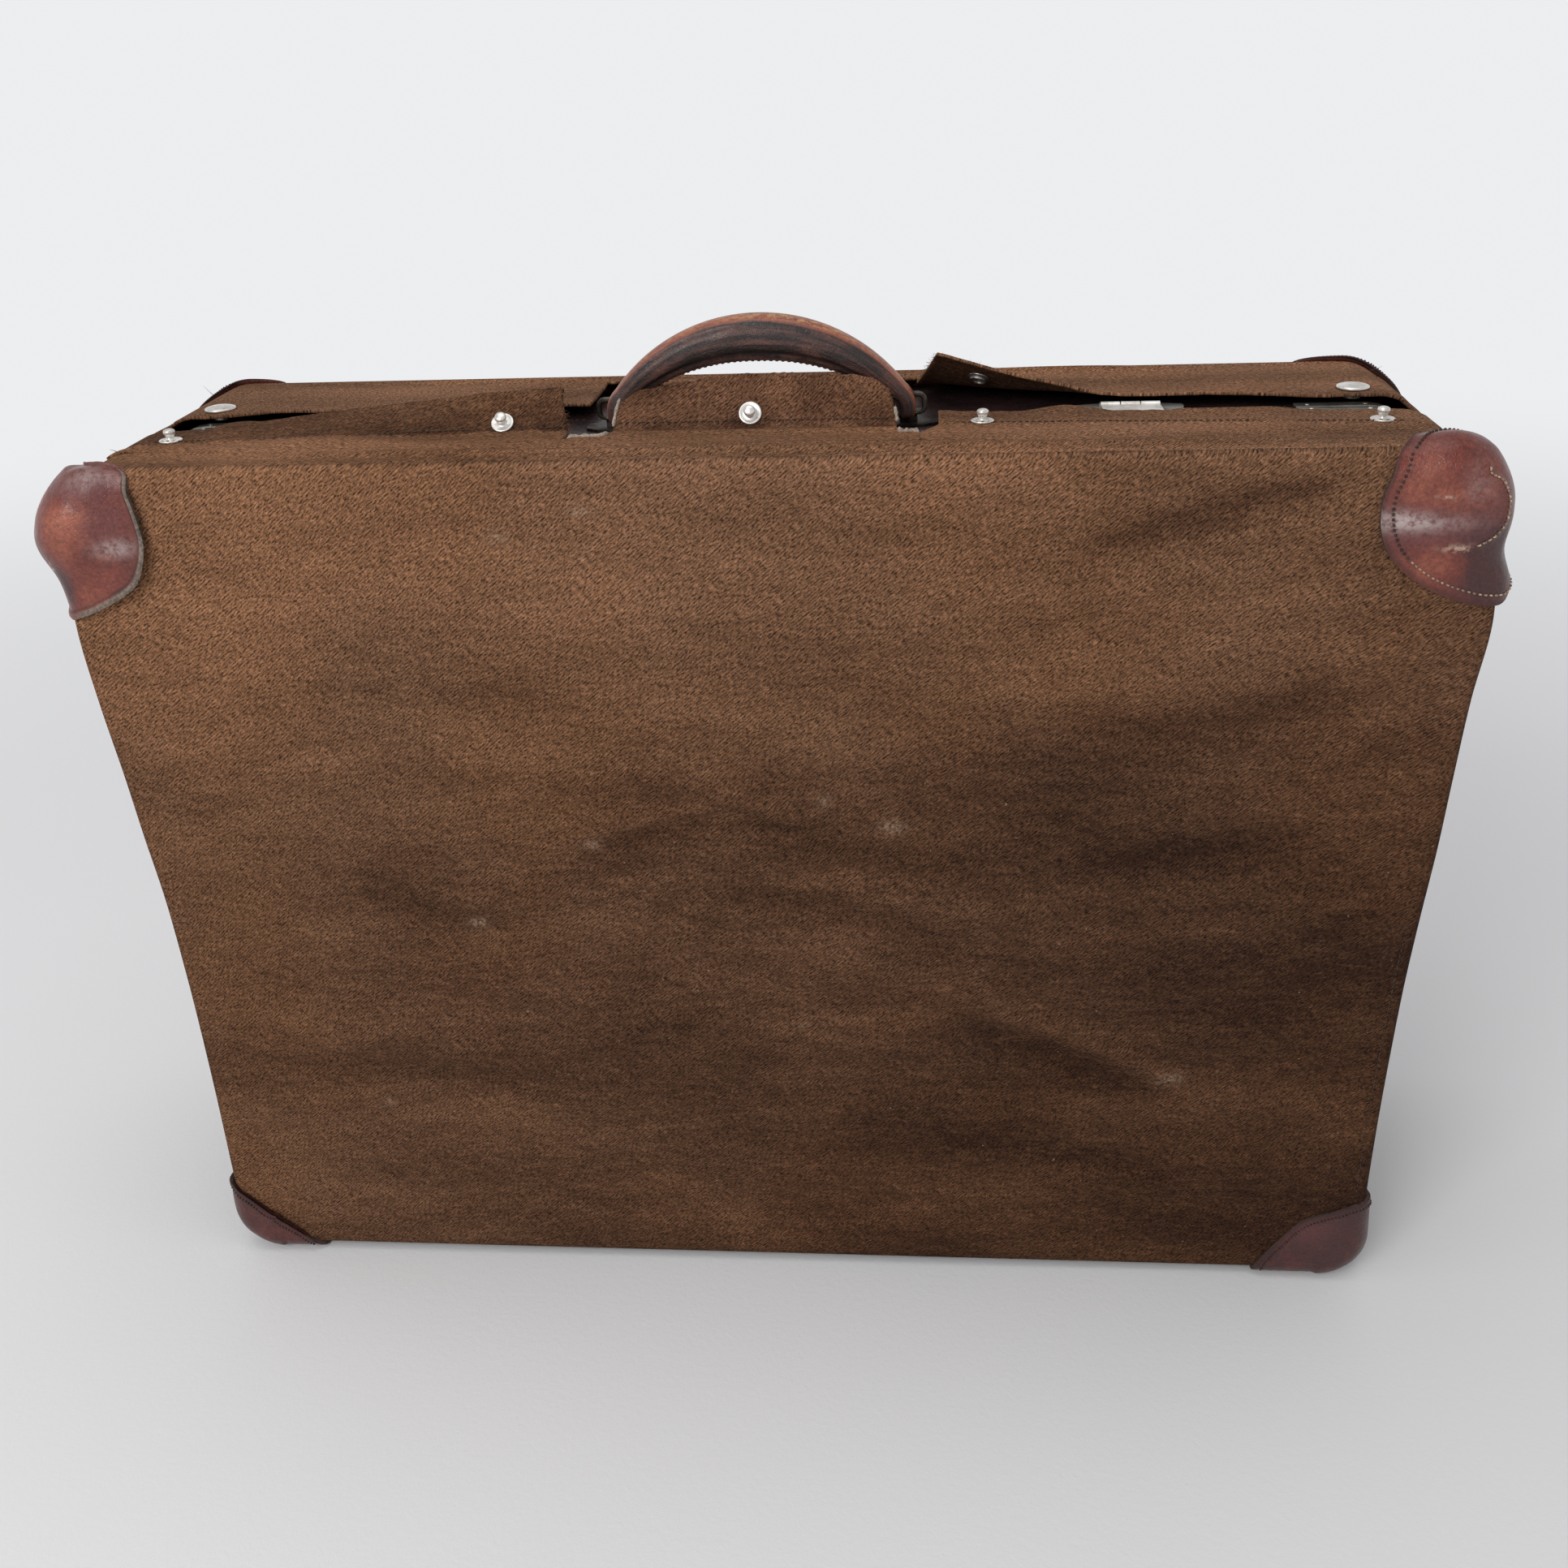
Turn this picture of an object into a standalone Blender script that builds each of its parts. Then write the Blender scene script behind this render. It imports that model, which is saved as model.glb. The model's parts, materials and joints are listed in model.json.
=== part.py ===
"""Leather suitcase standing upright in its fitted canvas travel cover.

Metres, +Z up. The origin is the centre of the footprint, on the floor. +X runs along
the width, and -Y is the front, the side that carries the handle half of the case.
The cover is cut canvas with leather corner caps. Its top is slit along the width into
front and rear flaps, which close with ball press studs round the case's handle.
"""

import math

import bmesh
import bpy
from mathutils import Matrix, Vector

# Driving dimensions of the cover.
COVER_WIDTH = 0.660
COVER_DEPTH = 0.190
COVER_TOP = 0.480
COVER_CORNER = 0.026
CANVAS = 0.0015
LEATHER = 0.0032
GAP = 0.0003
COVER_BOTTOM = LEATHER + GAP
SHOULDER = COVER_WIDTH / 2 - COVER_CORNER

# Driving dimensions of the case inside.
CASE_WIDTH = 0.649
CASE_DEPTH = 0.179
CASE_TOP = 0.472
CASE_BOTTOM = 0.0087
CASE_CORNER = 0.023
CASE_EDGE = 0.006
CASE_WALL = 0.004
SPLIT_Y = 0.015

# Driving dimensions of the top opening.
OPENING_END = 0.316
FRONT_FOLD = -0.0622
TAB_FOLD = -0.0342
REAR_FOLD = 0.0700
FOLD_HEIGHT = COVER_TOP + 0.0004
FOLD_CLEARANCE = 0.0005
FLAP_LEFT_END = -0.094
FLAP_RIGHT_START = 0.086
TAB_LEFT, TAB_RIGHT = -0.072, 0.066
TAB_LENGTH = 0.026
TAB_TAPER = 0.34
TAB_LEAN = math.radians(62)
REAR_TAB_LEFT, REAR_TAB_RIGHT = -0.062, 0.056
NOTCH_FLOOR = -0.0470
NOTCH_STEP = 0.0004
FRONT_EDGE, FRONT_EDGE_BOW = -0.010, 0.014
REAR_EDGE, REAR_EDGE_REACH = 0.0210, 0.0100
REACH_START, REACH_RUN = 0.235, 0.050
HEM = 0.026
LIFT_START = -0.280
LEFT_FLAP_LIFT = math.radians(46)
REAR_CORNER_LIFT = 0.022
REAR_CORNER_WIDTH, REAR_CORNER_DEPTH = 0.090, 0.045
REAR_CORNER_STEPS = 12
BEND_SHARE = 0.25

# How far each leather cap reaches from its corner: along the width, depth and height.
CAP_REACH = {
    ("top", "front"): (0.050, 0.031, 0.072),
    ("top", "rear"): (0.050, 0.0225, 0.072),
    ("bottom", "front"): (0.057, 0.050, 0.052),
    ("bottom", "rear"): (0.057, 0.050, 0.052),
}
CAP_EDGE = 0.0030

# Driving dimensions of the handle.
HANDLE_X = -0.003
HANDLE_Y = 0.002
HANDLE_ARC = 0.093
HANDLE_TOP = 0.5275
HANDLE_THICK, HANDLE_THIN = 0.022, 0.011
HANDLE_WIDE, HANDLE_NARROW = 0.0205, 0.0140
HANDLE_EYE, HANDLE_EYE_LENGTH = 0.0055, 0.0100
HANDLE_END_X = 0.0745
HANDLE_SWEEP = math.radians(52)
RING_AXIS = 0.4775
RING_HEIGHT = 0.009
RING_HALF_WIDTH = 0.008
RING_WIRE = 0.0014
RING_BORE = 0.0018
RING_BEND = 0.0028
BRACKET_LENGTH, BRACKET_WIDTH = 0.030, 0.017
BRACKET_EYE, BRACKET_EYE_LENGTH = 0.0029, 0.0090

# Press studs, from left to right along the front flaps, and the caps behind them.
STUD_X = {"1": -0.293, "2": -0.127, "3": -0.005, "4": 0.107, "5": 0.291}
CAP_X = {"1": -0.295, "2": -0.120, "3": -0.003, "4": 0.108, "5": 0.294}
STUD_SETBACK = 0.020
CAP_SETBACK = 0.011
RIVET = 0.0014
RIVET_HOLE = 0.0018

# Locks.
LOCK_X = {"left": -0.183, "right": 0.183}
HASP_AXIS_Y = SPLIT_Y + 0.0005
HASP_AXIS_Z = 0.4757
KNUCKLE = 0.0019
KNUCKLE_BORE = 0.0010
PIN = 0.00085
KNUCKLE_LENGTH = 0.0094
KNUCKLE_PITCH = 0.0100
PLATE = 0.0011
LOCK_BOX_WIDTH, LOCK_BOX_FRONT, LOCK_BOX_REAR = 0.034, -0.0160, SPLIT_Y - 0.0025
HASP_WIDTH, HASP_FRONT = 0.0294, -0.0080
HASP_PLATE_LENGTH, HASP_PLATE_WIDTH, HASP_PLATE_Y = 0.056, 0.0125, SPLIT_Y + 0.0080

# Hinges under the case.
LEAF_WIDTH, LEAF_NEAR, LEAF_FAR = 0.048, 0.0022, 0.0200
LEAF_THICK = 0.0012
HINGE_KNUCKLE, HINGE_KNUCKLE_LENGTH = 0.0017, 0.0154
HINGE_KNUCKLE_PITCH = 0.0160
HINGE_BORE, HINGE_PIN = 0.0009, 0.00075

# Nickel edge strips on the case.
STRIP_NEAR, STRIP_FAR, STRIP_THICK = 0.0010, 0.0085, 0.0010
STRIP_ALONG, STRIP_DOWN = 0.036, 0.045

MERGE = 1e-5
ROUND = 12
SIDES = {"left": -1, "right": 1}


# Materials.

COLOURS = {
    "canvas": ((0.115, 0.060, 0.033), 0.90, 0.0),
    "cap_leather": ((0.150, 0.040, 0.024), 0.42, 0.0),
    "grip_leather": ((0.105, 0.047, 0.032), 0.50, 0.0),
    "case_leather": ((0.028, 0.016, 0.016), 0.38, 0.0),
    "nickel": ((0.640, 0.600, 0.540), 0.25, 1.0),
    "steel": ((0.420, 0.400, 0.370), 0.35, 1.0),
}


def material(slot):
    found = bpy.data.materials.get(slot)
    if found:
        return found
    made = bpy.data.materials.new(slot)
    made.use_nodes = True
    colour, roughness, metallic = COLOURS[slot]
    shader = made.node_tree.nodes["Principled BSDF"]
    shader.inputs["Base Color"].default_value = (*colour, 1.0)
    shader.inputs["Roughness"].default_value = roughness
    shader.inputs["Metallic"].default_value = metallic
    return made


# Building tools.


def finished(name, shape, slot, smooth=True):
    """Turns a bmesh into a named object whose faces point out."""
    bmesh.ops.remove_doubles(shape, verts=shape.verts, dist=MERGE)
    bmesh.ops.recalc_face_normals(shape, faces=shape.faces)
    mesh = bpy.data.meshes.new(name)
    shape.to_mesh(mesh)
    shape.free()
    if smooth:
        mesh.shade_smooth()
        mesh.set_sharp_from_angle(angle=math.radians(35))
    mesh.materials.append(material(slot))
    made = bpy.data.objects.new(name, mesh)
    bpy.context.scene.collection.objects.link(made)
    return made


def lofted(name, rings, slot, closed=False):
    """A skin through matching rings of points, capped at both ends unless it closes on itself."""
    shape = bmesh.new()
    rows = [[shape.verts.new(point) for point in ring] for ring in rings]
    pairs = list(zip(rows, rows[1:]))
    if closed:
        pairs.append((rows[-1], rows[0]))
    else:
        shape.faces.new(rows[0])
        shape.faces.new(rows[-1])
    count = len(rows[0])
    for one, two in pairs:
        for i in range(count):
            j = (i + 1) % count
            shape.faces.new((one[i], one[j], two[j], two[i]))
    return finished(name, shape, slot)


def spun(name, profile, slot, closed=False):
    """Turns a profile of (radius, height) points about the Z axis."""
    shape = bmesh.new()
    verts = [shape.verts.new((radius, 0, height)) for radius, height in profile]
    edges = [shape.edges.new(pair) for pair in zip(verts, verts[1:])]
    if closed:
        edges.append(shape.edges.new((verts[-1], verts[0])))
    bmesh.ops.spin(
        shape,
        geom=verts + edges,
        cent=(0, 0, 0),
        axis=(0, 0, 1),
        angle=2 * math.pi,
        steps=ROUND,
        use_merge=True,
    )
    return finished(name, shape, slot)


def box(name, low, high, slot):
    """A box between two corners."""
    shape = bmesh.new()
    bmesh.ops.create_cube(shape, size=1)
    size = Vector(high) - Vector(low)
    middle = (Vector(high) + Vector(low)) / 2
    bmesh.ops.scale(shape, vec=size, verts=shape.verts)
    bmesh.ops.translate(shape, vec=middle, verts=shape.verts)
    return finished(name, shape, slot, smooth=False)


def rod(name, centre, radius, length, slot):
    """A cylinder along X."""
    shape = bmesh.new()
    place = Matrix.Translation(centre) @ Matrix.Rotation(math.pi / 2, 4, "Y")
    bmesh.ops.create_cone(
        shape,
        cap_ends=True,
        segments=ROUND,
        radius1=radius,
        radius2=radius,
        depth=length,
        matrix=place,
    )
    return finished(name, shape, slot)


def combined(target, operation, tool):
    """Adds or cuts another object, which stays hidden as a guide."""
    step = target.modifiers.new(tool.name, "BOOLEAN")
    step.operation = operation
    step.solver = "EXACT"
    step.object = tool
    tool.hide_render = True
    tool.display_type = "WIRE"


def rounded_rectangle(width, low, high, radius, steps=6):
    """Points (x, z) round a rectangle that is centred on x = 0."""
    points = []
    half = width / 2 - radius
    centres = [
        (half, high - radius, 0),
        (-half, high - radius, 90),
        (-half, low + radius, 180),
        (half, low + radius, 270),
    ]
    for x, z, start in centres:
        for step in range(steps + 1):
            turn = math.radians(start + 90 * step / steps)
            points.append((x + radius * math.cos(turn), z + radius * math.sin(turn)))
    return points


def cover_outline(offset=0.0):
    """The cover's front outline, grown by offset."""
    return rounded_rectangle(
        COVER_WIDTH + 2 * offset,
        COVER_BOTTOM - offset,
        COVER_TOP + offset,
        COVER_CORNER + offset,
    )


def case_outline(inset=0.0):
    return rounded_rectangle(
        CASE_WIDTH - 2 * inset,
        CASE_BOTTOM + inset,
        CASE_TOP - inset,
        CASE_CORNER - inset,
    )


def at_depth(outline, y):
    return [(x, y, z) for x, z in outline]


def spread(start, end, count):
    """Evenly spaced values, both ends included."""
    return [start + (end - start) * i / (count - 1) for i in range(count)]


def hang(pieces, name, pivot):
    """Parents pieces to an empty that sits on their joint's axis."""
    axis = bpy.data.objects.new(name, None)
    axis.location = pivot
    bpy.context.scene.collection.objects.link(axis)
    for piece in pieces:
        piece.parent = axis
        piece.matrix_parent_inverse = Matrix.Translation(-Vector(pivot))


# Canvas sheets.


def top_height(x):
    """Height of the cover's outer face over the flat top and down the rounded ends."""
    past = max(0.0, abs(x) - SHOULDER)
    drop = COVER_CORNER - math.sqrt(COVER_CORNER**2 - past**2)
    return COVER_TOP - drop


def shoulder_stations(sign):
    """Stations down the rounded end of the opening, in order along +X."""
    return sorted(sign * x for x in (SHOULDER, (SHOULDER + OPENING_END) / 2, OPENING_END))


def canvas_sheet(name, xs, rows, surface):
    """A sheet one canvas thick, below surface(x, s), where s runs from 0 to 1 across it."""

    def normal_at(x, s):
        along = surface(x + 0.0005, s) - surface(x - 0.0005, s)
        across = surface(x, min(s + 0.004, 1)) - surface(x, max(s - 0.004, 0))
        up = along.cross(across).normalized()
        return up if up.z > 0 else -up

    rings = []
    for x in xs:
        outer = [surface(x, s) for s in rows]
        inner = [surface(x, s) - CANVAS * normal_at(x, s) for s in rows]
        rings.append(outer + inner[::-1])
    return lofted(name, rings, "canvas")


def lean_back(point, fold_y, angle):
    """Turns a point up about a fold line, its free edge rising from the rear to the front."""
    away, above = point.y - fold_y, point.z - FOLD_HEIGHT
    y = fold_y + away * math.cos(angle) - above * math.sin(angle)
    z = FOLD_HEIGHT + away * math.sin(angle) + above * math.cos(angle)
    return Vector((point.x, y, z))


def smooth_step(value):
    value = min(max(value, 0.0), 1.0)
    return value * value * (3 - 2 * value)


def front_edge(x):
    """Where the front flaps end: nearer the middle of the top at the handle."""
    return FRONT_EDGE - FRONT_EDGE_BOW * (x / OPENING_END) ** 2


def rear_edge(x):
    """Where the rear flaps end: further forward at the two ends of the case."""
    return REAR_EDGE - REAR_EDGE_REACH * smooth_step((abs(x) - REACH_START) / REACH_RUN)


def front_flap(x, s):
    """Flat: s is 0 at the fold, 0.5 at the stitched edge of the hem and 1 at the free edge."""
    start, edge = FRONT_FOLD + FOLD_CLEARANCE, front_edge(x)
    hem = edge - HEM
    y = start + 2 * s * (hem - start) if s < 0.5 else hem + (2 * s - 1) * HEM
    return Vector((x, y, top_height(x)))


def front_flap_left(x, s):
    """Flat at the corner, and its hem bent up more and more towards the handle."""
    flat = front_flap(x, s)
    hem = front_edge(x) - HEM
    share = max(0.0, (x - LIFT_START) / (FLAP_LEFT_END - LIFT_START))
    if flat.y <= hem or share == 0:
        return flat
    return lean_back(flat, hem, LEFT_FLAP_LIFT * share**0.85)


def front_tab(x, s):
    """The tab under the handle's arch, narrower at its free edge."""
    middle = (TAB_LEFT + TAB_RIGHT) / 2
    narrow = 1 - TAB_TAPER * s**1.6
    start = TAB_FOLD + FOLD_CLEARANCE
    flat = Vector((middle + (x - middle) * narrow, start + s * TAB_LENGTH, COVER_TOP))
    return lean_back(flat, TAB_FOLD, TAB_LEAN)


def rear_flap(x, s):
    start = REAR_FOLD - FOLD_CLEARANCE
    return Vector((x, start + s * (rear_edge(x) - start), top_height(x)))


def bend_away(share):
    """0 up to the start of a bend, then round it, then straight on to 1 at the far end."""
    share = max(share, 0.0)
    rise = share * share / (2 * BEND_SHARE) if share < BEND_SHARE else share - BEND_SHARE / 2
    return rise / (1 - BEND_SHARE / 2)


def rear_flap_right(x, s):
    """Flat, but for the corner beside the handle, bent up across a slanting line."""
    flat = rear_flap(x, s)
    past_line = 1 - (x - FLAP_RIGHT_START) / REAR_CORNER_WIDTH - (flat.y - REAR_EDGE) / REAR_CORNER_DEPTH
    return flat + Vector((0, 0, REAR_CORNER_LIFT * bend_away(past_line)))


def frame_on(surface, x, s):
    """A placement on a sheet whose Z axis points out of its outer face."""
    origin = surface(x, s)
    along = (surface(x + 0.001, s) - surface(x - 0.001, s)).normalized()
    across = (surface(x, s + 0.01) - surface(x, s - 0.01)).normalized()
    out = along.cross(across).normalized()
    if out.z < 0:
        across, out = -across, -out
    turned = Matrix((along, out.cross(along), out)).transposed()
    return Matrix.Translation(origin) @ turned.to_4x4()


def punched(sheet, label, placement):
    """Cuts the rivet's hole through a sheet."""
    hole = spun(
        f"hole_{label}",
        [(0, -0.004), (RIVET_HOLE, -0.004), (RIVET_HOLE, 0.004), (0, 0.004)],
        "canvas",
    )
    hole.matrix_world = placement
    combined(sheet, "DIFFERENCE", hole)


# The cover.


def cover_panels():
    inner = COVER_DEPTH / 2 - CANVAS
    for name, sign in (("cover_front_panel", -1), ("cover_back_panel", 1)):
        rings = [
            at_depth(cover_outline(), sign * inner),
            at_depth(cover_outline(), sign * (COVER_DEPTH / 2 - 0.0004)),
            at_depth(cover_outline(-0.0006), sign * COVER_DEPTH / 2),
        ]
        lofted(name, rings, "canvas")


def gusset_path(inset):
    """The band's outline from the top's right end, round the bottom, to its left end."""
    radius = COVER_CORNER - inset
    high, low = COVER_TOP - COVER_CORNER, COVER_BOTTOM + COVER_CORNER
    top_turn = math.degrees(math.acos((OPENING_END + 2 * GAP - SHOULDER) / COVER_CORNER))
    right = [(high, turn) for turn in spread(top_turn, 0, 5)]
    right += [(low, turn) for turn in spread(0, -90, 7)]
    points = [
        (SHOULDER + radius * math.cos(math.radians(t)), z + radius * math.sin(math.radians(t)))
        for z, t in right
    ]
    return points + [(-x, z) for x, z in reversed(points)]


def cover_gusset():
    depth = COVER_DEPTH / 2 - CANVAS - GAP
    rings = []
    for (x, z), (u, w) in zip(gusset_path(0), gusset_path(CANVAS)):
        rings.append([(x, -depth, z), (x, depth, z), (u, depth, w), (u, -depth, w)])
    lofted("cover_gusset", rings, "canvas")


def top_strips():
    """The parts of the top that stay sewn down, with a tongue below the centre tab."""
    front = -(COVER_DEPTH / 2 - CANVAS - GAP)
    inner_edge = {x: FRONT_FOLD for x in shoulder_stations(-1) + shoulder_stations(1)}
    inner_edge.update({
        FLAP_LEFT_END + NOTCH_STEP: FRONT_FOLD,
        FLAP_LEFT_END + 2 * NOTCH_STEP: NOTCH_FLOOR,
        TAB_LEFT - NOTCH_STEP: NOTCH_FLOOR,
        TAB_LEFT: TAB_FOLD,
        TAB_RIGHT: TAB_FOLD,
        TAB_RIGHT + NOTCH_STEP: NOTCH_FLOOR,
        FLAP_RIGHT_START - 2 * NOTCH_STEP: NOTCH_FLOOR,
        FLAP_RIGHT_START - NOTCH_STEP: FRONT_FOLD,
    })

    def front_strip(x, s):
        station = min(inner_edge, key=lambda known: abs(known - x))
        end = inner_edge[station] - GAP
        return Vector((x, front + s * (end - front), top_height(x)))

    def rear_strip(x, s):
        start = REAR_FOLD + GAP
        return Vector((x, start + s * (-front - start), top_height(x)))

    canvas_sheet("cover_front_top_strip", sorted(inner_edge), [0, 1], front_strip)
    xs = shoulder_stations(-1) + shoulder_stations(1)
    canvas_sheet("cover_rear_top_strip", xs, [0, 1], rear_strip)


def corner_caps():
    """Leather caps: shells round each corner, trimmed by an ellipsoid about it."""
    outer_offset = GAP + LEATHER
    depth = COVER_DEPTH / 2 + outer_offset
    rings = []
    for turn in spread(0, 90, 4):
        inset = CAP_EDGE * (1 - math.sin(math.radians(turn)))
        y = depth - CAP_EDGE * (1 - math.cos(math.radians(turn)))
        rings.append(at_depth(cover_outline(outer_offset - inset), y))
    mirrored = [[(x, -y, z) for x, y, z in ring] for ring in reversed(rings)]
    outer = lofted("cap_outer_form", rings + mirrored, "cap_leather")
    inner_depth = COVER_DEPTH / 2 + GAP
    inner = lofted(
        "cap_inner_form",
        [at_depth(cover_outline(GAP), y) for y in (-inner_depth, inner_depth)],
        "cap_leather",
    )
    heights = {"top": COVER_TOP, "bottom": COVER_BOTTOM}
    depths = {"front": -COVER_DEPTH / 2, "rear": COVER_DEPTH / 2}
    for (level, face), reach in CAP_REACH.items():
        for side, sign in SIDES.items():
            shape = bmesh.new()
            bmesh.ops.create_uvsphere(shape, u_segments=24, v_segments=14, radius=1)
            bmesh.ops.scale(shape, vec=reach, verts=shape.verts)
            centre = (sign * COVER_WIDTH / 2, depths[face], heights[level])
            bmesh.ops.translate(shape, vec=centre, verts=shape.verts)
            cap = finished(f"corner_cap_{level}_{face}_{side}", shape, "cap_leather")
            combined(cap, "INTERSECT", outer)
            combined(cap, "DIFFERENCE", inner)


# Press studs.


def press_stud(label, placement):
    """A ball on a flange, riveted through the canvas to a back plate in one piece."""
    below = -CANVAS - GAP
    profile = [
        (0, below - 0.0007),
        (0.0042, below - 0.0007),
        (0.0045, below - 0.0003),
        (0.0045, below),
        (RIVET, below),
        (RIVET, GAP),
        (0.0052, GAP),
        (0.0055, GAP + 0.0004),
        (0.0050, GAP + 0.0009),
        (0.0019, GAP + 0.0013),
        (0.0018, GAP + 0.0024),
        (0.0027, GAP + 0.0036),
        (0.0028, GAP + 0.0047),
        (0.0020, GAP + 0.0058),
        (0, GAP + 0.0062),
    ]
    stud = spun(f"press_stud_{label}", profile, "nickel")
    stud.matrix_world = placement
    return stud


def snap_cap(label, placement):
    """The domed cap, whose tube goes down through the canvas into the socket."""
    post = -CANVAS - GAP - 0.0010
    profile = [
        (0, post),
        (RIVET, post),
        (RIVET, GAP),
        (0.0076, GAP),
        (0.0080, GAP + 0.0006),
        (0.0070, GAP + 0.0014),
        (0.0040, GAP + 0.0021),
        (0, GAP + 0.0024),
    ]
    cap = spun(f"snap_cap_{label}", profile, "nickel")
    cap.matrix_world = placement
    return cap


def snap_socket(label, placement):
    """The spring socket under the canvas, bored for the cap's tube and open to the stud."""
    top = -CANVAS - GAP
    profile = [
        (RIVET + 0.0002, top),
        (0.0054, top),
        (0.0056, top - 0.0005),
        (0.0044, top - 0.0010),
        (0.0042, top - 0.0028),
        (0.0034, top - 0.0028),
        (0.0034, top - 0.0012),
        (RIVET + 0.0002, top - 0.0010),
    ]
    socket = spun(f"snap_socket_{label}", profile, "steel", closed=True)
    socket.matrix_world = placement
    return socket


# The flaps, each hung on its fold line with its half of the press studs.


def flap(name, surface, xs, rows, fold_y, fasteners, places, across):
    """A flap of canvas, hung on its fold with its fasteners riveted through it."""
    sheet = canvas_sheet(name, xs, rows, surface)
    pieces = [sheet]
    for label, x in places.items():
        placement = frame_on(surface, x, across)
        punched(sheet, f"{name}_{label}", placement)
        pieces += [make(label, placement) for make in fasteners]
    hang(pieces, f"{name}_fold", (0, fold_y, FOLD_HEIGHT))


def flaps():
    left = shoulder_stations(-1) + spread(LIFT_START, FLAP_LEFT_END, 9)
    corner_end = FLAP_RIGHT_START + REAR_CORNER_WIDTH
    right = spread(FLAP_RIGHT_START, corner_end, REAR_CORNER_STEPS + 1)
    right += spread(corner_end, REACH_START + REACH_RUN, 4)[1:] + shoulder_stations(1)
    front_tab_xs = spread(TAB_LEFT, TAB_RIGHT, 7)
    rear_tab_xs = spread(REAR_TAB_LEFT, REAR_TAB_RIGHT, 3)
    on_hem = 1 - 0.5 * STUD_SETBACK / HEM
    on_tab = 1 - STUD_SETBACK / TAB_LENGTH
    on_rear = 1 - CAP_SETBACK / (REAR_FOLD - rear_edge(0))
    hem_rows = [0, 0.25, 0.495, 0.505, 0.75, 1]
    flat_rows = spread(0, 1, 6)
    corner_start = 1 - REAR_CORNER_DEPTH / (REAR_FOLD - FOLD_CLEARANCE - REAR_EDGE)
    bend_rows = [0] + spread(corner_start, 1, REAR_CORNER_STEPS + 1)
    front = {
        "front_flap_left": (front_flap_left, left, hem_rows, FRONT_FOLD, "12", on_hem),
        "front_centre_tab": (front_tab, front_tab_xs, spread(0, 1, 4), TAB_FOLD, "3", on_tab),
        "front_flap_right": (front_flap, right, hem_rows, FRONT_FOLD, "45", on_hem),
    }
    for name, (surface, xs, rows, fold_y, labels, across) in front.items():
        places = {label: STUD_X[label] for label in labels}
        flap(name, surface, xs, rows, fold_y, [press_stud], places, across)
    rear = {
        "rear_flap_left": (rear_flap, left, flat_rows, "12"),
        "rear_centre_tab": (rear_flap, rear_tab_xs, flat_rows, "3"),
        "rear_flap_right": (rear_flap_right, right, bend_rows, "45"),
    }
    for name, (surface, xs, rows, labels) in rear.items():
        places = {label: CAP_X[label] for label in labels}
        halves = [snap_cap, snap_socket]
        flap(name, surface, xs, rows, REAR_FOLD, halves, places, on_rear)


# The case.


def case_shells():
    """Two open trays, the deep one with the handle in front and the lid behind."""
    for name, sign in (("case_base_shell", -1), ("case_lid_shell", 1)):
        mouth = SPLIT_Y + sign * GAP / 2
        back = sign * CASE_DEPTH / 2
        rings = []
        for turn in spread(0, 90, 4):
            inset = CASE_EDGE * (1 - math.sin(math.radians(turn)))
            y = back - sign * CASE_EDGE * (1 - math.cos(math.radians(turn)))
            rings.append(at_depth(case_outline(inset), y))
        rings.append(at_depth(case_outline(), mouth))
        rings.append(at_depth(case_outline(CASE_WALL), mouth))
        rings.append(at_depth(case_outline(CASE_WALL), back - sign * CASE_WALL))
        lofted(name, rings, "case_leather")


def corner_guards():
    """Nickel edge strips beside the mouth of each half, bent round its top corners."""
    half = CASE_WIDTH / 2 - CASE_CORNER
    high = CASE_TOP - CASE_CORNER
    lines = [(half - STRIP_ALONG, high, 90)]
    lines += [(half, high, turn) for turn in spread(90, 0, 7)]
    lines += [(half, high - STRIP_DOWN, 0)]
    under, over = GAP, GAP + STRIP_THICK
    for part, away in (("base", -1), ("lid", 1)):
        near, far = SPLIT_Y + away * STRIP_NEAR, SPLIT_Y + away * STRIP_FAR
        for side, sign in SIDES.items():
            rings = []
            for x, z, turn in lines:
                ring = []
                for lift, y in ((under, near), (under, far), (over, far), (over, near)):
                    reach = CASE_CORNER + lift
                    u = x + reach * math.cos(math.radians(turn))
                    w = z + reach * math.sin(math.radians(turn))
                    ring.append((sign * u, y, w))
                rings.append(ring)
            lofted(f"corner_guard_{part}_{side}", rings, "nickel")


def oval_plate(name, centre, length, width, low, high):
    """A plate with squarish oval ends, in the XY plane."""
    outline = []
    for turn in spread(0, 330, 12):
        c, s = math.cos(math.radians(turn)), math.sin(math.radians(turn))
        stretch = (abs(c) ** 4 + abs(s) ** 4) ** -0.25
        x = centre[0] + length / 2 * c * stretch
        outline.append((x, centre[1] + width / 2 * s * stretch))
    rings = [[(x, y, z) for x, y in outline] for z in (low, high)]
    return lofted(name, rings, "nickel")


def knuckled(leaf, x, offsets, axis, web_y, web_z, knuckle, bore):
    """Joins knuckles to a leaf by short webs, and bores them through for the pin."""
    slot = leaf.data.materials[0].name
    axis_y, axis_z = axis
    radius, length = knuckle
    for offset in offsets:
        label = f"{leaf.name}_{offset:+.3f}"
        low = (x + offset - length / 2, min(axis_y, web_y), web_z[0])
        high = (x + offset + length / 2, max(axis_y, web_y), web_z[1])
        combined(leaf, "UNION", box(f"web_{label}", low, high, slot))
        centre = (x + offset, axis_y, axis_z)
        combined(leaf, "UNION", rod(f"barrel_{label}", centre, radius, length, slot))
    through = rod(f"bore_{leaf.name}", (x, axis_y, axis_z), bore, 0.060, slot)
    combined(leaf, "DIFFERENCE", through)


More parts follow.
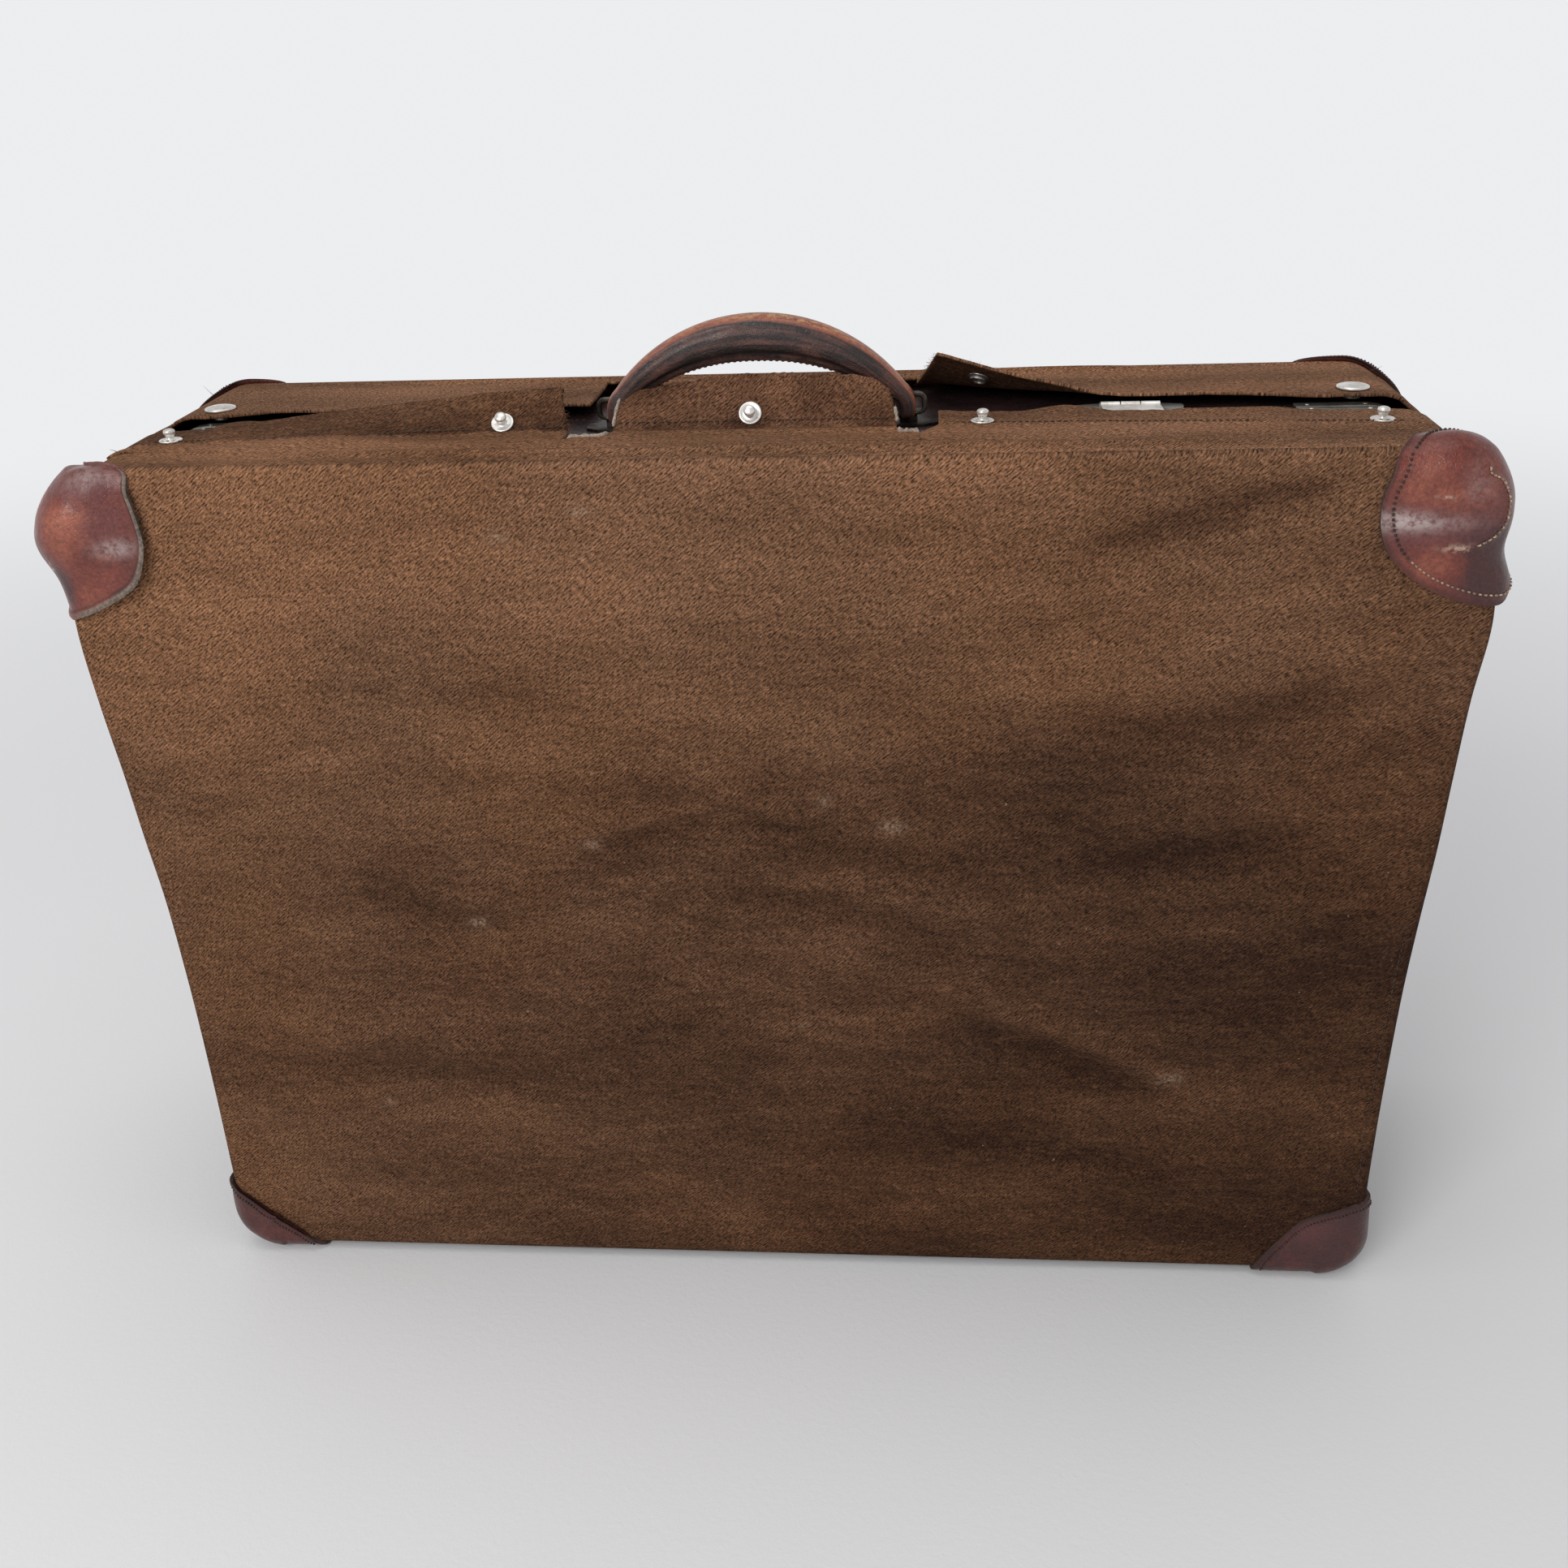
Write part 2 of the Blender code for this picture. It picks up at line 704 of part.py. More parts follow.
def locks():
    """Each lock: a plate on the base, and a hasp hinged to an oval plate on the lid."""
    low, high = CASE_TOP + GAP, CASE_TOP + GAP + PLATE
    axis = (HASP_AXIS_Y, HASP_AXIS_Z)
    knuckle = (KNUCKLE, KNUCKLE_LENGTH)
    for side, x in LOCK_X.items():
        half = LOCK_BOX_WIDTH / 2
        box_low, box_high = (x - half, LOCK_BOX_FRONT, low), (x + half, LOCK_BOX_REAR, high)
        box(f"lock_box_{side}", box_low, box_high, "nickel")
        name, middle = f"hasp_plate_{side}", (x, HASP_PLATE_Y)
        plate = oval_plate(name, middle, HASP_PLATE_LENGTH, HASP_PLATE_WIDTH, low, high)
        offsets = (-KNUCKLE_PITCH, KNUCKLE_PITCH)
        web_z = (high - 0.0006, HASP_AXIS_Z)
        knuckled(plate, x, offsets, axis, HASP_AXIS_Y + 0.0060, web_z, knuckle, KNUCKLE_BORE)
        hasp = box(
            f"hasp_{side}",
            (x - HASP_WIDTH / 2, HASP_FRONT, HASP_AXIS_Z - 0.0006),
            (x + HASP_WIDTH / 2, HASP_AXIS_Y - 0.0026, HASP_AXIS_Z + 0.0008),
            "nickel",
        )
        web_z = (HASP_AXIS_Z - 0.0005, HASP_AXIS_Z + 0.0007)
        knuckled(hasp, x, (0,), axis, HASP_AXIS_Y - 0.0040, web_z, knuckle, KNUCKLE_BORE)
        centre = (x, HASP_AXIS_Y, HASP_AXIS_Z)
        rod(f"hasp_pin_{side}", centre, PIN, 3 * KNUCKLE_PITCH, "steel")
        hang([hasp], f"hasp_{side}_axis", centre)


def bottom_hinges():
    """Two hinges under the case, each of two leaves and a pin, hidden in the cover."""
    high = CASE_BOTTOM - GAP
    web_z = (high - LEAF_THICK, high)
    axis = (SPLIT_Y, CASE_BOTTOM - HINGE_KNUCKLE)
    knuckle = (HINGE_KNUCKLE, HINGE_KNUCKLE_LENGTH)
    leaves = {"base": (-1, (-HINGE_KNUCKLE_PITCH, HINGE_KNUCKLE_PITCH)), "lid": (1, (0,))}
    half = LEAF_WIDTH / 2
    for side, x in LOCK_X.items():
        for part, (sign, offsets) in leaves.items():
            near, far = SPLIT_Y + sign * LEAF_NEAR, SPLIT_Y + sign * LEAF_FAR
            leaf = box(
                f"hinge_leaf_{part}_{side}",
                (x - half, min(near, far), web_z[0]),
                (x + half, max(near, far), web_z[1]),
                "steel",
            )
            web_y = near + sign * 0.0010
            knuckled(leaf, x, offsets, axis, web_y, web_z, knuckle, HINGE_BORE)
        rod(f"hinge_pin_{side}", (x, *axis), HINGE_PIN, 3 * HINGE_KNUCKLE_LENGTH, "steel")


# The handle.


def handle_grip():
    """A stitched leather arch, thick in the middle, with an eye at each end for its ring."""
    centre_z = HANDLE_TOP - HANDLE_ARC
    rings = []
    for turn in spread(-HANDLE_SWEEP, HANDLE_SWEEP, 15):
        share = abs(turn) / HANDLE_SWEEP
        thick = HANDLE_THICK - (HANDLE_THICK - HANDLE_THIN) * share**1.7
        wide = HANDLE_WIDE - (HANDLE_WIDE - HANDLE_NARROW) * share**2
        middle = HANDLE_ARC - thick / 2
        ring = []
        for step in range(ROUND):
            around = 2 * math.pi * step / ROUND
            radius = middle + thick / 2 * math.cos(around)
            ring.append((
                HANDLE_X + radius * math.sin(turn),
                HANDLE_Y + wide / 2 * math.sin(around),
                centre_z + radius * math.cos(turn),
            ))
        rings.append(ring)
    grip = lofted("handle_grip", rings, "grip_leather")
    for side, sign in SIDES.items():
        centre = (HANDLE_X + sign * HANDLE_END_X, HANDLE_Y, RING_AXIS + RING_HEIGHT)
        eye = rod(f"eye_{side}", centre, HANDLE_EYE, HANDLE_EYE_LENGTH, "grip_leather")
        combined(grip, "UNION", eye)
    for side, sign in SIDES.items():
        centre = (HANDLE_X + sign * HANDLE_END_X, HANDLE_Y, RING_AXIS + RING_HEIGHT)
        bore = rod(f"eye_bore_{side}", centre, RING_BORE, 3 * HANDLE_EYE_LENGTH, "grip_leather")
        combined(grip, "DIFFERENCE", bore)
    return grip


def handle_ring(side, sign):
    """An oblong wire ring whose lower bar turns in the bracket."""
    x = HANDLE_X + sign * HANDLE_END_X
    half = RING_HALF_WIDTH - RING_BEND
    low, high = RING_AXIS + RING_BEND, RING_AXIS + RING_HEIGHT - RING_BEND
    rings = []
    for u, w, start in ((half, high, 0), (-half, high, 90), (-half, low, 180), (half, low, 270)):
        for turn in spread(start, start + 90, 4):
            c, s = math.cos(math.radians(turn)), math.sin(math.radians(turn))
            ring = []
            for step in range(8):
                around = 2 * math.pi * (step + 0.5) / 8
                reach = RING_BEND + RING_WIRE * math.cos(around)
                depth = RING_WIRE * math.sin(around)
                ring.append((x + u + reach * c, HANDLE_Y + depth, w + reach * s))
            rings.append(ring)
    return lofted(f"handle_ring_{side}", rings, "nickel", closed=True)


def handle_bracket(side, sign):
    """A plate on the case's top with a raised eye for the ring."""
    x = HANDLE_X + sign * HANDLE_END_X
    low, high = CASE_TOP + GAP, CASE_TOP + GAP + PLATE
    name, middle = f"handle_bracket_{side}", (x, HANDLE_Y)
    plate = oval_plate(name, middle, BRACKET_LENGTH, BRACKET_WIDTH, low, high)
    half = BRACKET_EYE_LENGTH / 2
    web = box(
        f"bracket_web_{side}",
        (x - half, HANDLE_Y - 0.0022, high - 0.0006),
        (x + half, HANDLE_Y + 0.0022, RING_AXIS),
        "nickel",
    )
    combined(plate, "UNION", web)
    centre = (x, HANDLE_Y, RING_AXIS)
    eye = rod(f"bracket_eye_{side}", centre, BRACKET_EYE, BRACKET_EYE_LENGTH, "nickel")
    combined(plate, "UNION", eye)
    bore = rod(f"bracket_bore_{side}", centre, RING_BORE, 3 * BRACKET_EYE_LENGTH, "nickel")
    combined(plate, "DIFFERENCE", bore)


def handle():
    pieces = [handle_grip()]
    for side, sign in SIDES.items():
        pieces.append(handle_ring(side, sign))
        handle_bracket(side, sign)
    hang(pieces, "handle_axis", (HANDLE_X, HANDLE_Y, RING_AXIS))


def main():
    for old in list(bpy.data.objects):
        bpy.data.objects.remove(old)
    cover_panels()
    cover_gusset()
    top_strips()
    corner_caps()
    flaps()
    case_shells()
    corner_guards()
    locks()
    bottom_hinges()
    handle()


main()
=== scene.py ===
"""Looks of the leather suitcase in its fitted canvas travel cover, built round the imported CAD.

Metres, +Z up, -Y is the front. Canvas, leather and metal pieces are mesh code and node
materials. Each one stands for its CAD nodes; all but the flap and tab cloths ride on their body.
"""

import json
import math

import bpy
import numpy as np
from mathutils import Matrix, Vector

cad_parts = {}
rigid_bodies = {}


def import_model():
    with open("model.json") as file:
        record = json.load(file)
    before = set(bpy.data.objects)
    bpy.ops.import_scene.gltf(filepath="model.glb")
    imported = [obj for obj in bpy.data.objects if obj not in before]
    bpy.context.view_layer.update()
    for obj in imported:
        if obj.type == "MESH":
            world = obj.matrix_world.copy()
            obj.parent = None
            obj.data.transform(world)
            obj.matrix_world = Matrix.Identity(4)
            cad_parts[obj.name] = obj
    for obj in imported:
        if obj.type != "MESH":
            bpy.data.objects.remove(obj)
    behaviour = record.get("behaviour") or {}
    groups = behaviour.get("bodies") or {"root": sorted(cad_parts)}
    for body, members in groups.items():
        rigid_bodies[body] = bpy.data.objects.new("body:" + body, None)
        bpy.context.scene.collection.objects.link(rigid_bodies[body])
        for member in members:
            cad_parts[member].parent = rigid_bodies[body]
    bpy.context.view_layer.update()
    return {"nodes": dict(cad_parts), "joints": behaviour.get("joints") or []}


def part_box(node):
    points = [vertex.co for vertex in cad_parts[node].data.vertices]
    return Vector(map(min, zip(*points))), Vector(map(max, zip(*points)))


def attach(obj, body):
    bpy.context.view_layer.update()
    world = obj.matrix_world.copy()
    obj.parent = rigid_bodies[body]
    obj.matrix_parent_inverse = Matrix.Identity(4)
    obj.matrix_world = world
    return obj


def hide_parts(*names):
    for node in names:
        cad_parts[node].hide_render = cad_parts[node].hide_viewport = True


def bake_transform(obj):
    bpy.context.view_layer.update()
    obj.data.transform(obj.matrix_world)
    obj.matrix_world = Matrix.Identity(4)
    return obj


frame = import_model()

# Places read from the frame.
NODES = frame["nodes"]
JOINTS = {joint["name"]: joint for joint in frame["joints"]}
PANEL_LOW, PANEL_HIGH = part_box("cover_front_panel")
HALF = PANEL_HIGH.x
TOP, BOTTOM = PANEL_HIGH.z, PANEL_LOW.z
FRONT = PANEL_LOW.y
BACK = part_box("cover_back_panel")[1].y
MIDDLE_Z = (TOP + BOTTOM) / 2
CORNER = 0.026
SHOULDER = HALF - CORNER
FRONT_FOLD = JOINTS["front_flap_left_fold"]["pos_m"][1]
TAB_FOLD = JOINTS["front_tab_fold"]["pos_m"][1]
REAR_FOLD = JOINTS["rear_flap_left_fold"]["pos_m"][1]
OPENING_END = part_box("front_flap_right")[1].x
FLAP_LEFT_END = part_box("front_flap_left")[1].x
FLAP_RIGHT_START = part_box("front_flap_right")[0].x
TAB_LEFT, TAB_RIGHT = -0.072, 0.066  # the cloth's own ends, read from the photo
REAR_TAB_LEFT, REAR_TAB_RIGHT = (corner.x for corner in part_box("rear_centre_tab"))
HANDLE_PIVOT = Vector(JOINTS["handle_swing"]["pos_m"])

# Sizes of the cloth and its sewing.
CANVAS = 0.0015
EDGE_ROUND = 0.0058
BEND = 0.0024
WALE_PITCH = 0.0013
WALE_TURN = math.radians(40)
NOTCH_FLOOR = -0.0470
HEM = 0.026
HEM_LEAD, HEM_BEND = 0.002, 0.008  # where the hem starts to bend, and over what length
HEM_THREAD = 0.0030
STITCH_PITCH = 0.0030
STITCH_RINGS = ((0, 0.45, -0.4), (0.18, 1, 0.35), (0.5, 1.1, 0.6), (0.82, 1, 0.35), (1, 0.45, -0.4))
RIPPLES = 10
SIDES = {"left": -1, "right": 1}
ROOT = "case_and_cover"


# Numbers and fields.


def smooth_step(value):
    value = np.clip(value, 0.0, 1.0)
    return value * value * (3 - 2 * value)


def ripples(u, v, length, stretch, seed):
    """Smooth waves of about unit height, longer along u than along v by stretch."""
    draw = np.random.default_rng(seed)
    total = np.zeros(np.broadcast(u, v).shape)
    for _ in range(RIPPLES):
        turn = draw.uniform(0, 2 * math.pi)
        size = length * draw.uniform(0.7, 1.6)
        phase = draw.uniform(0, 2 * math.pi)
        total += np.sin(2 * math.pi / size * (u / stretch * math.cos(turn) + v * math.sin(turn)) + phase)
    return total / math.sqrt(RIPPLES / 2)


def along_line(u, v, points):
    """Distance from each (u, v) to a broken line, and the share of its length passed there."""
    points = np.array(points, float)
    lengths = np.linalg.norm(np.diff(points, axis=0), axis=1)
    starts = np.concatenate([[0], np.cumsum(lengths)])
    best = np.full(np.shape(u), 1e9)
    share = np.zeros(np.shape(u))
    for start, end, length, before in zip(points, points[1:], lengths, starts):
        step = (end - start) / length
        t = np.clip(((u - start[0]) * step[0] + (v - start[1]) * step[1]), 0, length)
        away = np.hypot(u - start[0] - t * step[0], v - start[1] - t * step[1])
        nearer = away < best
        best = np.where(nearer, away, best)
        share = np.where(nearer, (before + t) / starts[-1], share)
    return best, share


def fold(u, v, points, width):
    """A soft ridge along a broken line, fading out at both ends."""
    away, share = along_line(u, v, points)
    return np.exp(-((away / width) ** 2)) * smooth_step(share / 0.3) * smooth_step((1 - share) / 0.3)


def smooth_curve(xs, ys, at):
    """A curve through the knots (xs, ys), read at the values in at."""
    xs, ys = np.array(xs, float), np.array(ys, float)
    slopes = np.gradient(ys, xs)
    at = np.clip(at, xs[0], xs[-1])
    i = np.clip(np.searchsorted(xs, at) - 1, 0, len(xs) - 2)
    width = xs[i + 1] - xs[i]
    t = (at - xs[i]) / width
    a = (1 + 2 * t) * (1 - t) ** 2 * ys[i] + t * (1 - t) ** 2 * width * slopes[i]
    return a + t * t * (3 - 2 * t) * ys[i + 1] + t * t * (t - 1) * width * slopes[i + 1]


# Node materials.


class Graph:
    """Short ways to add a material's nodes and join them."""

    def __init__(self, name):
        self.material = bpy.data.materials.new(name)
        self.material.use_nodes = True
        self.nodes = self.material.node_tree.nodes
        self.links = self.material.node_tree.links
        self.shader = self.nodes["Principled BSDF"]

    def feed(self, socket, value):
        if isinstance(value, bpy.types.NodeSocket):
            self.links.new(value, socket)
        elif isinstance(value, tuple) and socket.type == "RGBA":
            socket.default_value = (*value, 1.0)
        else:
            socket.default_value = value

    def add(self, kind, **presets):
        """A new shader node, some of its inputs preset."""
        node = self.nodes.new("ShaderNode" + kind)
        for name, value in presets.items():
            node.inputs[name.replace("_", " ")].default_value = value
        return node

    def operate(self, kind, operation, values):
        node = self.add(kind)
        node.operation = operation
        for socket, value in zip(node.inputs, values):
            self.feed(socket, value)
        return node

    def attribute(self, name, output="Fac"):
        node = self.add("Attribute")
        node.attribute_name = name
        return node.outputs[output]

    def objects(self):
        return self.add("TexCoord").outputs["Object"]

    def math(self, operation, *values, clamp=False):
        node = self.operate("Math", operation, values)
        node.use_clamp = clamp
        return node.outputs[0]

    def vector(self, operation, *values):
        node = self.operate("VectorMath", operation, values)
        return node.outputs["Value" if operation in ("DOT_PRODUCT", "LENGTH") else "Vector"]

    def centred(self, value, height):
        """A value between 0 and 1, stretched to a height and moved to lie about zero."""
        return self.math("MULTIPLY_ADD", value, height, -height / 2)

    def noise(self, place, scale, detail=3.0, rough=0.55, stretch=None, warp=0.0):
        if stretch:
            place = self.vector("MULTIPLY", place, stretch)
        node = self.add("TexNoise", Scale=scale, Detail=detail, Roughness=rough, Distortion=warp)
        self.links.new(place, node.inputs["Vector"])
        return node.outputs["Fac"]

    def turned(self, place, angle):
        """A place turned about Z, so that its first axis runs at the angle."""
        c, s = math.cos(angle), math.sin(angle)
        join = self.add("CombineXYZ")
        self.links.new(self.vector("DOT_PRODUCT", place, (c, s, 0.0)), join.inputs[0])
        self.links.new(self.vector("DOT_PRODUCT", place, (-s, c, 0.0)), join.inputs[1])
        return join.outputs[0]

    def ridges(self, value):
        """Sharp crests where a noise passes its middle."""
        away = self.math("ABSOLUTE", self.centred(value, 2.0))
        return self.math("SUBTRACT", 1.0, self.math("MULTIPLY", away, 3.2), clamp=True)

    def cells(self, place, scale):
        """Distance to the nearest edge of a pattern of cells."""
        node = self.add("TexVoronoi", Scale=scale)
        node.feature = "DISTANCE_TO_EDGE"
        self.links.new(place, node.inputs["Vector"])
        return node.outputs["Distance"]

    def span(self, value, low, high, to_low=0.0, to_high=1.0):
        node = self.add("MapRange", From_Min=low, From_Max=high, To_Min=to_low, To_Max=to_high)
        node.interpolation_type = "SMOOTHSTEP"
        self.links.new(value, node.inputs["Value"])
        return node.outputs["Result"]

    def ramp(self, value, stops):
        node = self.add("ValToRGB")
        elements = node.color_ramp.elements
        while len(elements) < len(stops):
            elements.new(0.5)
        for element, (place, colour) in zip(elements, stops):
            element.position = place
            element.color = (*colour, 1.0)
        self.links.new(value, node.inputs["Fac"])
        return node.outputs["Color"]

    def mix(self, share, one, two, blend="MIX"):
        node = self.add("Mix")
        node.data_type = "RGBA"
        node.blend_type = blend
        self.feed(node.inputs["Factor"], share)
        self.feed(node.inputs[6], one)
        self.feed(node.inputs[7], two)
        return node.outputs[2]

    def shade(self, colour, strength):
        """Multiplies a colour by a grey that the value strength gives."""
        node = self.operate("VectorMath", "SCALE", ())
        self.feed(node.inputs["Vector"], colour)
        self.feed(node.inputs["Scale"], strength)
        return node.outputs["Vector"]

    def bump(self, height, distance, strength=1.0, under=None):
        node = self.add("Bump", Strength=strength, Distance=distance)
        self.links.new(height, node.inputs["Height"])
        if under is not None:
            self.links.new(under, node.inputs["Normal"])
        return node.outputs["Normal"]

    def finish(self, colour, roughness, normal=None, **fixed):
        self.feed(self.shader.inputs["Base Color"], colour)
        self.feed(self.shader.inputs["Roughness"], roughness)
        if normal is not None:
            self.feed(self.shader.inputs["Normal"], normal)
        for name, value in fixed.items():
            self.shader.inputs[name.replace("_", " ")].default_value = value
        return self.material


# Steps of the canvas colour from clean to darkest. The darker steps stand for dirt and also for painted
# shade.
CANVAS_CLEAN = (0.232, 0.116, 0.064)
CANVAS_WORN_AND_SHADED = (0.150, 0.075, 0.040)
CANVAS_SOILED_AND_SHADED = (0.080, 0.038, 0.020)
CANVAS_DARK = (0.032, 0.0145, 0.008)


def canvas_material(name, tint=(1.0, 1.0, 1.0)):
    """Brown cotton twill: diagonal wales, uneven yarn, streaky stains, painted shade and rubbed pale marks.
    """
    g = Graph(name)
    place, weave = g.attribute("place", "Vector"), g.attribute("weave", "Vector")
    yarn = g.noise(weave, 700, 2.0)
    across = g.vector("DOT_PRODUCT", weave, (-math.sin(WALE_TURN), math.cos(WALE_TURN), 0.0))
    across = g.math("MULTIPLY_ADD", yarn, 0.0009, across)
    wale = g.math("SINE", g.math("MULTIPLY", across, 2 * math.pi / WALE_PITCH))
    weft = g.vector("DOT_PRODUCT", weave, (math.cos(WALE_TURN), math.sin(WALE_TURN), 0.0))
    weft = g.math("SINE", g.math("MULTIPLY", weft, 2 * math.pi / (1.4 * WALE_PITCH)))
    height = g.math("MULTIPLY_ADD", wale, 0.26, 0.5)
    height = g.math("MULTIPLY_ADD", weft, 0.08, height)
    slub = g.noise(g.turned(weave, WALE_TURN), 960, 1.5, 0.9, stretch=(0.42, 1.15, 1.0))
    relief = g.math("ADD", height, g.centred(slub, 2.0))
    height = g.math("ADD", height, g.centred(slub, 6.4))
    # The painted value holds dirt and painted shade from the cloth pieces; the noises below add only dirt.
    soil = g.attribute("soil")
    broad = g.noise(place, 9, 4.0, 0.6, stretch=(0.5, 1.0, 1.4), warp=0.5)
    streak = g.noise(place, 60, 5.0, 0.76, stretch=(0.30, 1.0, 1.25), warp=0.25)
    fleck = g.noise(place, 210, 3.0, 0.8, stretch=(0.6, 1.0, 1.2))
    soil = g.math("ADD", soil, g.centred(broad, 0.40))
    soil = g.math("ADD", soil, g.centred(streak, 0.60))
    soil = g.math("ADD", soil, g.centred(fleck, 0.72), clamp=True)
    stops = [(0.0, CANVAS_CLEAN), (0.36, CANVAS_WORN_AND_SHADED), (0.68, CANVAS_SOILED_AND_SHADED), (1.0, CANVAS_DARK)]
    colour = g.ramp(soil, stops)
    warm = g.noise(place, 6, 3.0, 0.5)
    warmed = g.mix(1.0, colour, (1.06, 0.98, 0.86), "MULTIPLY")
    colour = g.mix(g.span(warm, 0.42, 0.62, 0.0, 0.5), colour, warmed)
    contrast = g.math("MULTIPLY_ADD", height, 0.72, 0.66)
    contrast = g.math("MAXIMUM", contrast, 0.22)
    colour = g.shade(colour, contrast)
    pale = g.math("MULTIPLY", g.attribute("pale"), g.span(g.noise(weave, 420, 4.0, 0.8), 0.42, 0.60))
    colour = g.mix(g.math("MULTIPLY", pale, 0.75, clamp=True), colour, (0.42, 0.29, 0.20))
    lint = g.span(g.noise(weave, 330, 2.0), 0.715, 0.78, 0.0, 0.55)
    colour = g.mix(lint, colour, (0.36, 0.25, 0.17))
    colour = g.mix(1.0, colour, tint, "MULTIPLY")
    crease = g.ridges(g.noise(place, 17, 3.0, 0.55, stretch=(0.30, 1.0, 1.1), warp=0.3))
    small = g.ridges(g.noise(place, 46, 2.0, 0.6, stretch=(0.28, 1.0, 1.2), warp=0.4))
    wrinkles = g.math("MULTIPLY_ADD", small, 0.35, crease)
    normal = g.bump(wrinkles, 0.0011, 0.55)
    normal = g.bump(relief, 0.00035, 0.80, under=normal)
    return g.finish(colour, 0.92, normal, Specular_IOR_Level=0.10)


PLUM = (0.112, 0.030, 0.030)


def leather_material(name, light, middle, dark, gloss=0.36, painted=True, grain=None):
    """Old vegetable-tanned leather: mottled dye, pores, fine cracks, rubbed and dirty places, painted
    highlights.
    """
    g = Graph(name)
    place = g.attribute("place", "Vector") if painted else g.objects()
    mottle = g.centred(g.noise(place, 45, 6.0, 0.70, warp=0.4), 0.80)
    tone = g.math("ADD", g.attribute("tone") if painted else mottle, mottle)
    if not painted:
        tone = g.math("ADD", tone, 0.4)
    streaks = g.noise(place, 330, 3.0, 0.7, stretch=grain or (1.0, 1.0, 1.0))
    tone = g.math("ADD", tone, g.centred(streaks, 1.5 if grain else 0.5))
    colour = g.ramp(tone, [(0.0, dark), (0.45, middle), (1.0, light)])
    colour = g.mix(g.math("MULTIPLY", g.attribute("plum"), 0.75), colour, PLUM)
    speck = g.noise(place, 620, 2.0, 0.8)
    colour = g.shade(colour, g.math("MAXIMUM", g.math("MULTIPLY_ADD", speck, 1.5, 0.25), 0.2))
    rim = g.attribute("rim")
    colour = g.mix(g.math("MULTIPLY", rim, 0.62, clamp=True), colour, tuple(0.55 * c for c in dark))
    raw = g.shade((0.170, 0.132, 0.104), g.math("MULTIPLY_ADD", speck, 2.6, -0.3))
    colour = g.mix(g.attribute("raw"), colour, raw)
    worn = g.span(g.noise(place, 260, 4.0, 0.8), 0.44, 0.60)
    bare = (0.46, 0.24, 0.095) if grain else (0.50, 0.36, 0.27)
    colour = g.mix(g.math("MULTIPLY", g.attribute("scuff"), worn), colour, bare)
    # Painted highlight: a pale colour mixed in where the leather should gleam.
    shine = g.attribute("shine")
    colour = g.mix(g.math("MULTIPLY", shine, g.span(streaks, 0.25, 0.62)), colour, (0.42, 0.33, 0.31))
    cracks = g.span(g.cells(place, 420), 0.0, 0.10)
    pores = g.noise(place, 1500, 2.0, 0.6)
    height = g.math("ADD", g.math("MULTIPLY", cracks, 0.35), g.math("MULTIPLY", pores, 0.5))
    height = g.math("ADD", height, g.math("MULTIPLY", streaks, 1.6 if grain else 0.4))
    normal = g.bump(height, 0.00022, 0.85)
    dents = g.noise(place, 95, 4.0, 0.62)
    normal = g.bump(dents, 0.0011, 0.60, under=normal)
    rough = g.math("ADD", g.math("MULTIPLY_ADD", dents, 0.40, gloss - 0.20), g.math("MULTIPLY", rim, 0.25))
    rough = g.math("ADD", rough, g.math("MULTIPLY", g.attribute("raw"), 0.4))
    return g.finish(colour, rough, normal, Specular_IOR_Level=0.42, Coat_Weight=0.10, Coat_Roughness=0.14)


def metal_material(name, bright, dull, roughness, metallic=1.0):
    """Old nickel plate: cloudy tarnish, fine scratches and darker pits."""
    g = Graph(name)
    place = g.objects()
    cloud = g.noise(place, 120, 4.0, 0.65)
    colour = g.mix(g.span(cloud, 0.40, 0.66), bright, dull)
    pits = g.span(g.noise(place, 900, 2.0), 0.66, 0.74)
    colour = g.mix(pits, colour, tuple(0.35 * c for c in dull))
    scratch = g.noise(place, 300, 3.0, 0.7, stretch=(0.25, 3.0, 1.0))
    rough = g.math("MULTIPLY_ADD", cloud, 0.32, roughness - 0.12)
    normal = g.bump(scratch, 0.00005, 0.5)
    return g.finish(colour, rough, normal, Metallic=metallic)


def thread_material(name, colour, pale):
    """Waxed thread, with its twist and some dirt."""
    g = Graph(name)
    place = g.objects()
    worn = g.noise(place, 420, 3.0, 0.7)
    mixed = g.mix(g.span(worn, 0.35, 0.65), colour, pale)
    twist = g.noise(place, 2600, 1.0)
    return g.finish(mixed, 0.75, g.bump(twist, 0.0001, 0.6))


def raw_edge_material(name, colour, dark):
    """A cut edge of leather or cloth: fibrous, dirty and pale."""
    g = Graph(name)
    place = g.objects()
    fibre = g.noise(place, 700, 4.0, 0.75, warp=1.0)
    mixed = g.mix(g.span(fibre, 0.36, 0.64), dark, colour)
    return g.finish(mixed, 0.86, g.bump(fibre, 0.0003, 0.9))


